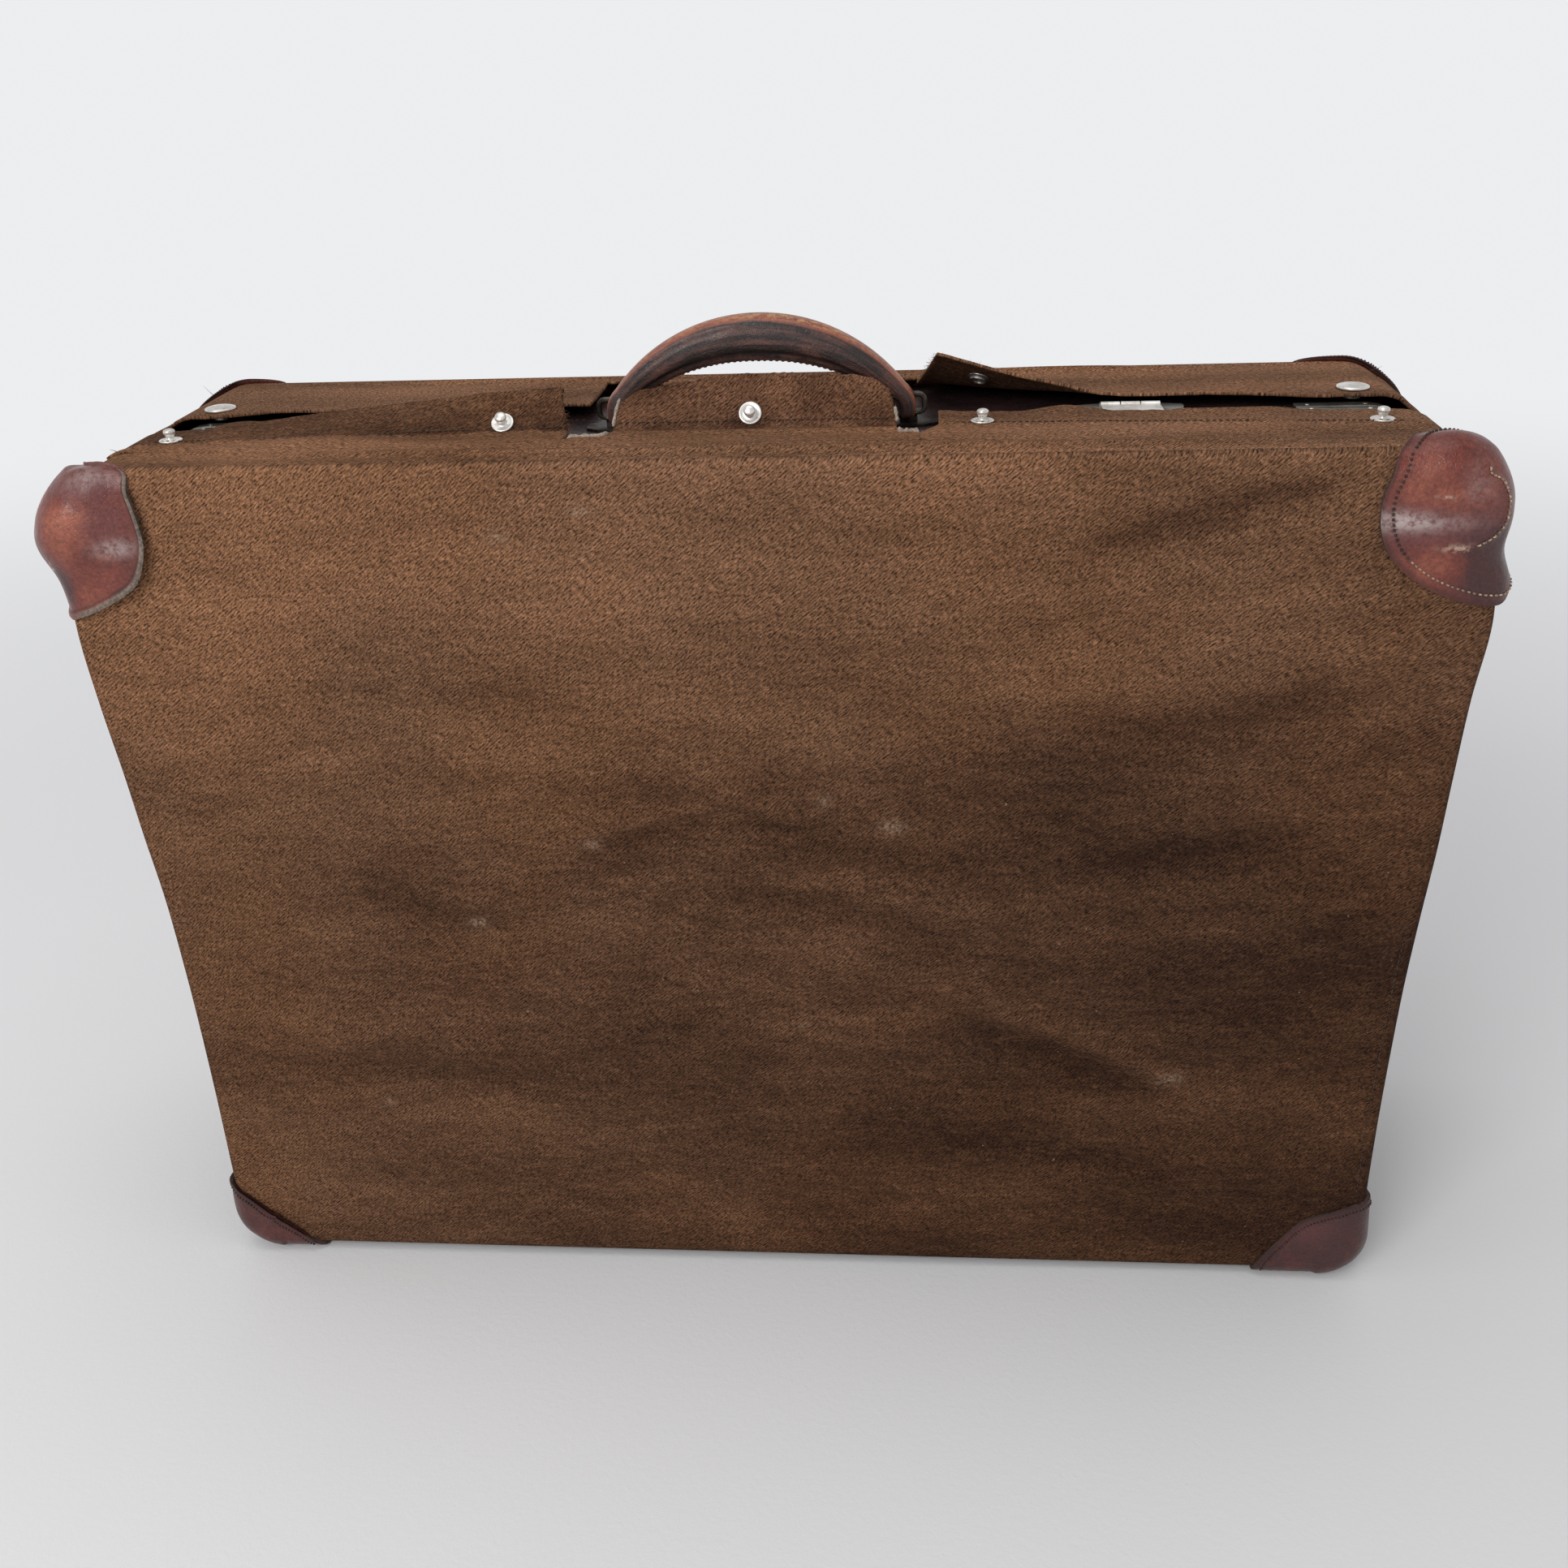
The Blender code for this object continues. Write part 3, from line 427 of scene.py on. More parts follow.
CAP_LIGHT, CAP_MIDDLE, CAP_DARK = (0.40, 0.118, 0.058), (0.160, 0.030, 0.016), (0.036, 0.010, 0.008)
MATERIALS = {
    "canvas": canvas_material("twill"),
    "hem": canvas_material("twill_hem", tint=(0.78, 0.76, 0.80)),
    # The cloth's inner face: the canvas painted darker, as painted shade on undersides that the light
    # doesn't reach.
    "inside": canvas_material("twill_inside_painted_shade", tint=(0.42, 0.40, 0.40)),
    "cap": leather_material("cap_hide", CAP_LIGHT, CAP_MIDDLE, CAP_DARK),
    "grip": leather_material(
        "grip_hide", (0.34, 0.085, 0.045), (0.130, 0.054, 0.040), (0.024, 0.016, 0.014), 0.42,
        grain=(0.07, 1.0, 1.0),
    ),
    "case_plain": leather_material(
        "case_hide_plain", (0.090, 0.045, 0.040), (0.038, 0.020, 0.020), (0.012, 0.008, 0.009), 0.32,
        painted=False,
    ),
    "nickel": metal_material("old_nickel", (0.86, 0.84, 0.80), (0.62, 0.58, 0.52), 0.30, metallic=0.66),
    "rail": metal_material("rubbed_nickel", (0.92, 0.90, 0.84), (0.62, 0.57, 0.48), 0.46),
    "steel": metal_material("dull_steel", (0.46, 0.44, 0.41), (0.22, 0.18, 0.15), 0.36),
    # Old metal, made very dark as painted shade: the handle's rings and brackets lie in the grip's shadow.
    "painted_shade_metal": metal_material("old_metal_painted_shade", (0.10, 0.085, 0.070), (0.035, 0.028, 0.024), 0.45),
    "dark_thread": thread_material("dark_thread", (0.020, 0.012, 0.009), (0.060, 0.036, 0.024)),
    "pale_thread": thread_material("pale_thread", (0.16, 0.10, 0.07), (0.50, 0.38, 0.27)),
    "raw_hide": raw_edge_material("raw_hide", (0.25, 0.20, 0.155), (0.060, 0.045, 0.038)),
    "tan_tear": raw_edge_material("tan_tear", (0.62, 0.33, 0.13), (0.22, 0.10, 0.04)),
    "dark_rim": raw_edge_material("dark_rim", (0.100, 0.058, 0.045), (0.025, 0.015, 0.013)),
    "lining": raw_edge_material("cloth_lining", (0.46, 0.38, 0.30), (0.17, 0.13, 0.10)),
}


# Mesh tools.


def to_object(name, vertices, faces, materials):
    mesh = bpy.data.meshes.new(name)
    mesh.from_pydata([tuple(v) for v in vertices], [], faces)
    mesh.validate()
    mesh.shade_smooth()
    for key in materials:
        mesh.materials.append(MATERIALS[key])
    made = bpy.data.objects.new(name, mesh)
    bpy.context.scene.collection.objects.link(made)
    return made


def paint(piece, **fields):
    """Stores values for the shader at each vertex: numbers, or vectors of three."""
    count = len(piece.data.vertices)
    for name, values in fields.items():
        values = np.asarray(values, np.float32)
        kind = "FLOAT_VECTOR" if values.ndim > 1 and values.shape[-1] == 3 else "FLOAT"
        attribute = piece.data.attributes.new(name, kind, "POINT")
        if kind == "FLOAT":
            flat = np.broadcast_to(values.ravel() if values.ndim else values, (count,))
            attribute.data.foreach_set("value", np.ascontiguousarray(flat))
        else:
            attribute.data.foreach_set("vector", np.ascontiguousarray(values.reshape(-1)))


def grid_faces(rows, columns, wrap=False):
    faces = []
    last = columns if wrap else columns - 1
    for i in range(rows - 1):
        for j in range(last):
            k = (j + 1) % columns
            faces.append((i * columns + j, i * columns + k, (i + 1) * columns + k, (i + 1) * columns + j))
    return faces


def stand_for(piece, body, slot, *nodes):
    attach(piece, body)
    if nodes:
        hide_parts(*nodes)


def thicken(piece, thickness, rim=None, bevel=0.0):
    """Gives a skin its thickness, inwards, and rounds its cut edge."""
    solid = piece.modifiers.new("thickness", "SOLIDIFY")
    solid.thickness = thickness
    solid.offset = -1
    if rim:
        piece.data.materials.append(MATERIALS[rim])
        solid.material_offset_rim = 1
    if bevel:
        soft = piece.modifiers.new("soft_edge", "BEVEL")
        soft.width = bevel
        soft.segments = 3
        soft.limit_method = "ANGLE"
        soft.angle_limit = math.radians(50)
    return solid


def cloth(name, points, weave, soil, pale=0.0, material="canvas", flip=False):
    """A sheet of canvas from a grid of points, its outer face up or out."""
    rows, columns = points.shape[:2]
    faces = grid_faces(rows, columns)
    if flip:
        faces = [face[::-1] for face in faces]
    piece = to_object(name, points.reshape(-1, 3), faces, [material, "inside"])
    weave = np.concatenate([weave, np.zeros((rows, columns, 1))], axis=2)
    paint(piece, place=points, weave=weave, soil=np.broadcast_to(soil, (rows, columns)),
          pale=np.broadcast_to(pale, (rows, columns)))
    # The inner face takes the darker inside canvas: painted shade.
    thicken(piece, CANVAS).material_offset = 1
    return piece


def stitches(name, runs, body, slot, thread="dark_thread", pitch=STITCH_PITCH, radius=0.00032, share=0.62):
    """Sewn thread along runs of (points, outward normals): short rounded stitches, set apart."""
    vertices, faces = [], []
    draw = np.random.default_rng(len(name) * 7 + 3)
    for points, normals in runs:
        points, normals = np.asarray(points, float), np.asarray(normals, float)
        steps = np.linalg.norm(np.diff(points, axis=0), axis=1)
        reach = np.concatenate([[0], np.cumsum(steps)])
        for start in np.arange(0, reach[-1] - share * pitch, pitch):
            ends = [start, start + share * pitch * draw.uniform(0.9, 1.08)]
            one, two = (np.array([np.interp(e, reach, points[:, k]) for k in range(3)]) for e in ends)
            up = np.array([np.interp(start, reach, normals[:, k]) for k in range(3)])
            up /= np.linalg.norm(up)
            ahead = (two - one) / np.linalg.norm(two - one)
            side = np.cross(up, ahead)
            base = len(vertices)
            for t, size, lift in STITCH_RINGS:
                centre = one + (two - one) * t + up * radius * lift
                for k in range(6):
                    turn = math.pi * k / 3
                    vertices.append(centre + size * radius * (math.cos(turn) * side + math.sin(turn) * up))
            faces += [tuple(base + f for f in face) for face in grid_faces(5, 6, wrap=True)]
            faces += [tuple(base + k for k in range(5, -1, -1)), tuple(base + 24 + k for k in range(6))]
    stand_for(to_object(name, vertices, faces, [thread]), body, slot)


def fibres(name, places, body, slot, material="canvas", length=0.004, radius=0.00012, seed=1):
    """Frayed yarn ends: thin bent hairs at (point, outward direction) pairs."""
    draw = np.random.default_rng(seed)
    vertices, faces = [], []
    for point, direction in places:
        point, direction = np.asarray(point, float), np.asarray(direction, float)
        direction = direction + draw.normal(0, 0.35, 3)
        direction /= np.linalg.norm(direction)
        side = np.cross(direction, draw.normal(0, 1, 3))
        side /= np.linalg.norm(side)
        third = np.cross(direction, side)
        bend = draw.normal(0, 0.5, 2)
        long = length * draw.uniform(0.4, 1.3)
        base = len(vertices)
        for step in range(5):
            t = step / 4
            centre = point + direction * long * t + (side * bend[0] + third * bend[1]) * long * t * t
            size = radius * (1 - 0.75 * t)
            for k in range(4):
                turn = math.pi * k / 2
                vertices.append(centre + size * (math.cos(turn) * side + math.sin(turn) * third))
        faces += [tuple(base + f for f in face) for face in grid_faces(5, 4, wrap=True)]
        faces += [(base + 3, base + 2, base + 1, base), tuple(base + 16 + k for k in range(4))]
    piece = to_object(name, vertices, faces, [material])
    count = len(piece.data.vertices)
    at = np.array([v.co for v in piece.data.vertices])
    paint(piece, place=at, weave=at, soil=np.full(count, 0.3), pale=np.full(count, 0.2))
    stand_for(piece, body, slot)


def turned(profile, placement, steps=40):
    """Vertices and faces of a (radius, height) profile turned about a placement's Z axis."""
    rings = []
    for radius, height in profile:
        for k in range(steps):
            turn = 2 * math.pi * k / steps
            rings.append(placement @ Vector((radius * math.cos(turn), radius * math.sin(turn), height)))
    return rings, grid_faces(len(profile), steps, wrap=True)


# The canvas cover.


SWELL = {
    # How far the cover's ends stand out or pull in, in millimetres, by height in millimetres.
    -1: {
        0: 0, 50: -1.0, 120: -2.8, 200: -3.3, 250: -2.0, 280: 0.3,
        320: 2.8, 360: 6.0, 400: 7.6, 440: 4.0, 480: 0,
    },
    1: {
        0: 0, 50: -2.5, 100: -3.3, 160: -3.0, 200: -2.2, 240: -0.3, 280: 2.1,
        320: 3.5, 360: 5.2, 400: 8.5, 440: 3.5, 480: 0,
    },
}


def settled(points):
    """The cover's slack: its ends stand out near the top and pull in lower down."""
    x, z = points[..., 0], points[..., 2]
    near_end = smooth_step((np.abs(x) - (HALF - 0.09)) / 0.09)
    moved = points.copy()
    for sign, knots in SWELL.items():
        swell = smooth_curve([k / 1000 for k in knots], [k / 1000 for k in knots.values()], z)
        moved[..., 0] += np.where(np.sign(x) == sign, sign * swell * near_end, 0.0)
    return moved


def round_corners(x, z):
    """Moves a square outline's points onto one with round corners, and says how far in they are."""
    half_x, half_z = HALF - CORNER, (TOP - BOTTOM) / 2 - CORNER
    dz = z - MIDDLE_Z
    core_x, core_z = np.clip(x, -half_x, half_x), np.clip(dz, -half_z, half_z)
    out_x, out_z = x - core_x, dz - core_z
    reach = np.maximum(np.abs(out_x), np.abs(out_z))
    length = np.maximum(np.hypot(out_x, out_z), 1e-9)
    return core_x + out_x / length * reach, MIDDLE_Z + core_z + out_z / length * reach, CORNER - reach


PANEL_FOLDS = [
    # Line (x, z), width, height, and how much painted shade lies along it; a negative amount is a painted
    # highlight.
    ([(0.285, 0.466), (0.240, 0.460), (0.190, 0.446), (0.135, 0.431)], 0.0065, -0.0024, 0.34),
    ([(0.290, 0.452), (0.235, 0.447), (0.180, 0.433)], 0.0080, 0.0016, -0.10),
    ([(-0.265, 0.368), (-0.195, 0.366), (-0.130, 0.363), (-0.070, 0.360)], 0.0065, -0.0011, 0.16),
    ([(-0.125, 0.319), (-0.070, 0.316), (-0.010, 0.312)], 0.0060, 0.0012, 0.20),
    (
        [(-0.110, 0.280), (-0.060, 0.296), (-0.015, 0.309), (0.010, 0.297), (0.045, 0.287)],
        0.0045, 0.0018, -0.08,
    ),
    ([(-0.115, 0.270), (-0.060, 0.286), (-0.015, 0.298), (0.060, 0.280)], 0.0080, -0.0014, 0.18),
    ([(-0.040, 0.258), (0.010, 0.248), (0.065, 0.235), (0.125, 0.214)], 0.0075, -0.0020, 0.22),
    ([(0.125, 0.362), (0.180, 0.346), (0.240, 0.353), (0.295, 0.375)], 0.0100, -0.0018, 0.22),
    ([(-0.225, 0.252), (-0.178, 0.241), (-0.135, 0.232)], 0.0060, -0.0013, 0.18),
    ([(-0.305, 0.144), (-0.233, 0.140), (-0.164, 0.130), (-0.090, 0.122)], 0.0080, -0.0013, 0.16),
    ([(0.100, 0.184), (0.150, 0.169), (0.194, 0.149), (0.232, 0.127)], 0.0070, 0.0018, -0.14),
    ([(0.085, 0.172), (0.140, 0.156), (0.185, 0.136), (0.225, 0.112)], 0.0090, -0.0020, 0.22),
    ([(0.060, 0.096), (0.153, 0.088), (0.236, 0.071)], 0.0100, -0.0012, 0.16),
    ([(0.138, 0.283), (0.185, 0.274), (0.226, 0.279), (0.285, 0.303)], 0.0090, -0.0018, 0.20),
    ([(-0.290, 0.440), (-0.200, 0.428), (-0.120, 0.424)], 0.0140, 0.0008, -0.05),
    ([(-0.060, 0.455), (0.030, 0.450), (0.110, 0.444)], 0.0100, -0.0008, 0.14),
    ([(-0.300, 0.200), (-0.200, 0.190), (-0.110, 0.196)], 0.0120, -0.0010, 0.10),
]
PANEL_STAINS = [
    # Centre (x, z), half sizes, how dark.
    ((0.020, 0.300), (0.060, 0.030), 0.20),
    ((0.150, 0.300), (0.110, 0.050), 0.16),
    ((0.230, 0.200), (0.090, 0.060), 0.20),
    ((-0.060, 0.150), (0.110, 0.035), 0.22),
    ((0.060, 0.105), (0.120, 0.030), 0.16),
    ((-0.150, 0.225), (0.060, 0.022), 0.12),
    ((0.040, 0.220), (0.050, 0.030), -0.20),
    ((-0.020, 0.345), (0.060, 0.020), -0.10),
    ((0.200, 0.130), (0.050, 0.016), -0.18),
    ((0.210, 0.430), (0.080, 0.035), 0.10),
    ((-0.240, 0.330), (0.060, 0.050), -0.08),
]
PANEL_SCUFFS = [
    # Centre (x, z) and size of each rubbed spot.
    ((-0.080, 0.457), 0.0050),
    ((-0.223, 0.113), 0.0040),
    ((-0.156, 0.233), 0.0060),
    ((0.064, 0.292), 0.0070),
    ((0.212, 0.139), 0.0070),
    ((-0.090, 0.282), 0.0050),
    ((0.015, 0.171), 0.0025),
    ((0.030, 0.306), 0.0040),
    ((-0.120, 0.445), 0.0050),
]


def front_field(x, z):
    """Relief, dirt, painted shade and rubbed spots over the front panel."""
    relief = 0.0012 * ripples(x, z, 0.120, 2.4, 11) + 0.00075 * ripples(x, z, 0.050, 3.0, 12)
    relief += 0.00030 * ripples(x, z, 0.020, 3.4, 14)
    # Darker towards the bottom and the right: painted shade of the light from the upper left.
    down, right = (TOP - z) / (TOP - BOTTOM), (x + HALF) / (2 * HALF)
    below = smooth_step(down / 0.5)
    soil = 0.15 + 0.25 * below + 0.12 * down + right * (0.16 + 0.20 * below)
    soil = soil + 0.04 * ripples(x, z, 0.08, 2.2, 13)
    # Each fold also paints shade along it, or a highlight where its amount is negative.
    for points, width, height, fold_shade in PANEL_FOLDS:
        shape = fold(x, z, points, width)
        relief += 1.7 * height * shape
        soil += 0.8 * fold_shade * fold(x, z, points, width * 1.3)
    for (u, w), (a, b), dark in PANEL_STAINS:
        soil += 0.55 * dark * np.exp(-(((x - u) / a) ** 2) - ((z - w) / b) ** 2)
    pale = np.zeros_like(x)
    for (u, w), size in PANEL_SCUFFS:
        pale += 0.8 * np.exp(-(((x - u) / (0.9 * size)) ** 2) - ((z - w) / (0.5 * size)) ** 2)
    return relief, soil, pale


def back_field(x, z):
    """The same for the back, which the photo doesn't show."""
    relief = 0.0007 * ripples(x, z, 0.110, 2.4, 21) + 0.0003 * ripples(x, z, 0.050, 3.0, 22)
    soil = 0.62 - 0.42 * (z - BOTTOM) / (TOP - BOTTOM) + 0.10 * ripples(x, z, 0.10, 1.8, 23)
    # The sunken folds are also painted darker along their lines: painted shade.
    for level, lean in ((0.34, 0.02), (0.26, -0.03), (0.17, 0.015), (0.09, -0.01)):
        points = [(-0.24, level), (-0.05, level + lean), (0.22, level - lean)]
        relief += -0.0015 * fold(x, z, points, 0.008)
        soil += 0.16 * fold(x, z, points, 0.014)
    return relief, soil, 0.35 * np.exp(-(((x - 0.1) / 0.012) ** 2) - ((z - 0.2) / 0.006) ** 2)


def panel(name, node, face, field):
    """One of the two large faces, its edge turned round towards the gusset."""
    outward = -1 if face == FRONT else 1
    xs = np.linspace(-HALF, HALF, 221)
    zs = np.linspace(BOTTOM, TOP, 161)
    edge = np.array([0.0006, 0.0014, 0.0024])
    xs = np.unique(np.concatenate([xs, -HALF + edge, HALF - edge]))
    zs = np.unique(np.concatenate([zs, BOTTOM + edge, TOP - edge]))
    x, z = np.meshgrid(xs, zs)
    u, w, inset = round_corners(x, z)
    turn = EDGE_ROUND - np.sqrt(np.maximum(EDGE_ROUND**2 - np.maximum(EDGE_ROUND - inset, 0) ** 2, 0))
    relief, soil, pale = field(u, w)
    relief = np.clip(relief, -0.0034, 0.0055) * smooth_step(inset / 0.030)
    y = face - outward * turn + outward * relief
    points = settled(np.stack([u, y, w], axis=2))
    # The last 6 mm, where the edge turns towards the gusset, is painted darker, less along the top: painted
    # shade.
    soil = soil + np.where(w > TOP - CORNER, 0.03, 0.12) * (1 - smooth_step(inset / 0.006))
    weave = np.stack([u, w], axis=2)
    piece = cloth(name, points, weave, soil, pale, flip=outward > 0)
    stand_for(piece, ROOT, "canvas", node)


def outline_point(length):
    """Point (x, z) and outward direction on the outline, by the distance from its top right end."""
    arc = CORNER * math.pi / 2
    start = CORNER * math.asin((OPENING_END - SHOULDER) / CORNER)
    side, base = TOP - BOTTOM - 2 * CORNER, 2 * SHOULDER
    position = length + start
    runs = [
        ("arc", arc, (SHOULDER, TOP - CORNER), 90),
        ("line", side, (HALF, TOP - CORNER), (0, -1)),
        ("arc", arc, (SHOULDER, BOTTOM + CORNER), 0),
        ("line", base, (SHOULDER, BOTTOM), (-1, 0)),
        ("arc", arc, (-SHOULDER, BOTTOM + CORNER), -90),
        ("line", side, (-HALF, BOTTOM + CORNER), (0, 1)),
        ("arc", arc, (-SHOULDER, TOP - CORNER), -180),
    ]
    for kind, run, (x, z), heading in runs:
        if position <= run or kind == "arc" and heading == -180:
            if kind == "arc":
                turn = math.radians(heading) - position / CORNER
                c, s = math.cos(turn), math.sin(turn)
                return (x + CORNER * c, z + CORNER * s), (c, s)
            out = (-heading[1], heading[0]) if heading[0] == 0 else (0, -1)
            return (x + heading[0] * position, z + heading[1] * position), out
        position -= run
    raise ValueError("past the end of the outline")


def outline_length():
    arc = CORNER * math.pi / 2
    start = CORNER * math.asin((OPENING_END - SHOULDER) / CORNER)
    return 4 * arc - 2 * start + 2 * (TOP - BOTTOM - 2 * CORNER) + 2 * SHOULDER


def gusset():
    """The band round both ends and the bottom, tucked under both large faces."""
    total = outline_length()
    lengths = np.linspace(0, total, 420)
    places = [outline_point(length) for length in lengths]
    at = np.array([p for p, _ in places])
    out = np.array([o for _, o in places])
    depths = np.concatenate([[-1.0, -0.985, -0.97], np.linspace(-0.95, 0.95, 49), [0.97, 0.985, 1.0]])
    half = BACK - EDGE_ROUND
    y = depths * half
    lengths_grid, y_grid = np.meshgrid(lengths, y)
    relief = 0.0005 * ripples(lengths_grid, y_grid, 0.060, 1.6, 31)
    relief = relief + 0.0002 * ripples(lengths_grid, y_grid, 0.02, 2, 32)
    relief -= 0.0005
    fade = smooth_step((half - np.abs(y_grid)) / 0.02)
    on_floor = at[:, 1] < BOTTOM + 0.01
    relief = np.where(on_floor, np.minimum(relief, 0), relief) * fade
    x = at[:, 0] + out[:, 0] * relief
    z = at[:, 1] + out[:, 1] * relief
    points = settled(np.stack([x, y_grid, z], axis=2))
    height = (at[:, 1] - BOTTOM) / (TOP - BOTTOM)
    # Darker towards the bottom, on the right end and where it tucks under the large faces: painted shade.
    soil = 0.66 - 0.40 * height + 0.07 * ripples(lengths_grid, y_grid, 0.09, 1.5, 33)
    soil = soil + 0.10 * (at[:, 0] > 0) + 0.15 * (1 - fade)
    piece = cloth("cover_gusset_cloth", points, np.stack([lengths_grid, y_grid], axis=2), soil)
    stand_for(piece, ROOT, "canvas", "cover_gusset")


def top_height(x):
    """The top's height, lower round the cover's two rounded shoulders."""
    past = np.maximum(0.0, np.abs(x) - SHOULDER)
    return TOP - (CORNER - np.sqrt(np.maximum(CORNER**2 - past**2, 0)))


def crease_relief(x, y):
    """Soft creases that run along the top, a little raised and a little sunk in turn."""
    relief = 0.00045 * ripples(x, y, 0.022, 7.0, 41)
    for level, lean, width, height in TOP_CREASES:
        points = [(-0.31, level + lean), (-0.10, level), (0.10, level + 0.3 * lean), (0.31, level - lean)]
        relief = relief + height * fold(x, y, points, width)
    return relief


TOP_CREASES = [
    # Level y, lean, width, height.
    (-0.0860, -0.003, 0.0016, 0.0012),
    (-0.0800, 0.002, 0.0022, -0.0014),
    (-0.0740, -0.002, 0.0014, 0.0013),
    (-0.0685, 0.001, 0.0016, -0.0005),
    (0.0765, 0.001, 0.0014, 0.0007),
    (0.0810, -0.001, 0.0015, -0.0007),
    (0.0850, 0.002, 0.0014, 0.0006),
    (0.0890, 0.001, 0.0012, -0.0005),
]


def top_points(x, y, extra=0.0):
    """Points of the flat top at (x, y), turned down at the front and rear seams."""
    inset = np.minimum(y - FRONT, BACK - y)
    turn = EDGE_ROUND - np.sqrt(np.maximum(EDGE_ROUND**2 - np.maximum(EDGE_ROUND - inset, 0) ** 2, 0))
    z = top_height(x) - turn + extra
    return np.stack([x, y, z], axis=2)


def top_soil(x, y, seed):
    """Dirt on the top, a little more at the left."""
    return 0.27 - 0.08 * (x + HALF) / (2 * HALF) + 0.10 * ripples(x, y, 0.05, 3.5, seed)


NOTCH_END = FLAP_RIGHT_START - 0.0090


def notch_edge(x):
    """Rear edge of the sewn-down front canvas between the flaps: two rounded notches and a tongue."""
    edge = np.full_like(x, TAB_FOLD - BEND)
    for left, right, tongue in ((FLAP_LEFT_END, TAB_LEFT, 1), (TAB_RIGHT, NOTCH_END, -1)):
        inside = (x > left - 1e-6) & (x < right + 1e-6)
        middle, half = (left + right) / 2, (right - left) / 2
        t = np.clip((x - middle) / half, -1, 1)
        toward = t * tongue
        curve = NOTCH_FLOOR + 0.0085 * np.clip(toward, 0, 1) ** 5 - 0.004 * np.clip(-toward, 0, 1) ** 4
        edge = np.where(inside, curve, edge)
    return edge


def strip_relief(x, y, inset):
    """Creases of a top strip, whose edge is tucked under the large face's turned edge."""
    past = inset - EDGE_ROUND
    tucked = -0.0005 * (1 - smooth_step((past + 0.0008) / 0.0016))
    return tucked + crease_relief(x, y) * smooth_step(past / 0.005) * end_fade(x)


def top_strips():
    """The front and rear strips that stay sewn down, and the tongue that the tab folds from."""
    xs = np.linspace(-OPENING_END, OPENING_END, 361)
    front_rows = np.linspace(FRONT + EDGE_ROUND * 0.40, FRONT_FOLD - BEND, 26)
    x, y = np.meshgrid(xs, front_rows)
    points = top_points(x, y, strip_relief(x, y, y - FRONT))
    front = cloth("cover_top_front_cloth", points, np.stack([x, y], axis=2), top_soil(x, y, 42))
    stand_for(front, ROOT, "canvas", "cover_front_top_strip")

    beside_tab = np.array([TAB_LEFT, TAB_RIGHT]) - 0.0003
    xs = np.unique(np.concatenate([np.linspace(FLAP_LEFT_END, NOTCH_END, 181), beside_tab]))
    shares = np.linspace(0, 1, 18)
    x, s = np.meshgrid(xs, shares)
    start = FRONT_FOLD - BEND
    y = start + s * (notch_edge(x) - start)
    points = top_points(x, y, crease_relief(x, y) * smooth_step((notch_edge(x) - y) / 0.004))
    tongue = cloth("cover_tongue_cloth", points, np.stack([x, y], axis=2), top_soil(x, y, 42))
    stand_for(tongue, ROOT, "canvas")

    xs = np.linspace(-OPENING_END, OPENING_END, 361)
    rows = np.linspace(REAR_FOLD + BEND, BACK - EDGE_ROUND * 0.40, 24)
    x, y = np.meshgrid(xs, rows)
    points = top_points(x, y, strip_relief(x, y, BACK - y))
    rear = cloth("cover_top_rear_cloth", points, np.stack([x, y], axis=2), top_soil(x, y, 43))
    stand_for(rear, ROOT, "canvas", "cover_rear_top_strip")


def end_fade(x):
    """From 0 at the opening's ends to 1 a little way in, where creases may stand."""
    return smooth_step((OPENING_END - np.abs(x)) / 0.03)


# The flaps. Each surface takes x and s, from 0 at its fold to 1 at its free edge.


def front_edge(x):
    """The free edge of the front flaps, before the hem is bent up."""
    return -0.010 - 0.014 * (x / OPENING_END) ** 2


def rear_edge(x):
    """The free edge of the rear flaps and tab, drawn back towards both ends."""
    return 0.0210 - 0.0100 * smooth_step((np.abs(x) - 0.235) / 0.050)


def bend_over(away, run, angle):
    """Along and above a fold of a sheet that bends by angle over a run, then goes on straight."""
    t = np.clip(away / run, 0, 1)
    angle = np.maximum(angle, 1e-4)
    turned = angle * t
    radius = run / angle
    along = radius * np.sin(turned)
    above = radius * (1 - np.cos(turned))
    rest = np.maximum(away - run, 0)
    straight = np.minimum(away, 0)
    return straight + along + rest * np.cos(angle), above + rest * np.sin(angle)


def front_flap_points(x, s, lift):
    """A front flap from before its fold to its free edge, the hem bent up by lift(x)."""
    start, edge = FRONT_FOLD - BEND, front_edge(x)
    y = start + s * (edge - start)
    hem = edge - HEM
    away = y - (hem - HEM_LEAD)
    along, above = bend_over(away, HEM_BEND, lift(x))
    flat_y = hem - HEM_LEAD + along
    return np.stack([x, flat_y, top_height(x) + above], axis=2)


def left_lift(x):
    """How far the left flap's hem is bent up, most beside the handle."""
    start = -0.280
    share = np.clip((x - start) / (FLAP_LEFT_END - start), 0, 1)
    return math.radians(46) * share**0.85


def no_lift(x):
    return np.zeros_like(x)


def flap_weave(x, points):
    """Cloth coordinates: x, and the distance along each thread from the first row."""
    steps = np.linalg.norm(np.diff(points, axis=0), axis=2)
    reach = np.concatenate([np.zeros((1, x.shape[1])), np.cumsum(steps, axis=0)])
    return np.stack([x, reach], axis=2)


def flap(name, node, points, x, soil, material="canvas", flip=False):
    """A flap of canvas that bends from the sewn strip round its fold line; its node is hidden, and the
    cloth rides on no body.
    """
    piece = cloth(name, points, flap_weave(x, points), soil, 0.0, material, flip=flip)
    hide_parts(node)
    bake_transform(piece)


def ragged(x, seed, size):
    """An uneven cut edge."""
    return size * ripples(x, x * 0, 0.012, 1.0, seed) + 0.4 * size * ripples(x, x * 0, 0.004, 1.0, seed + 1)


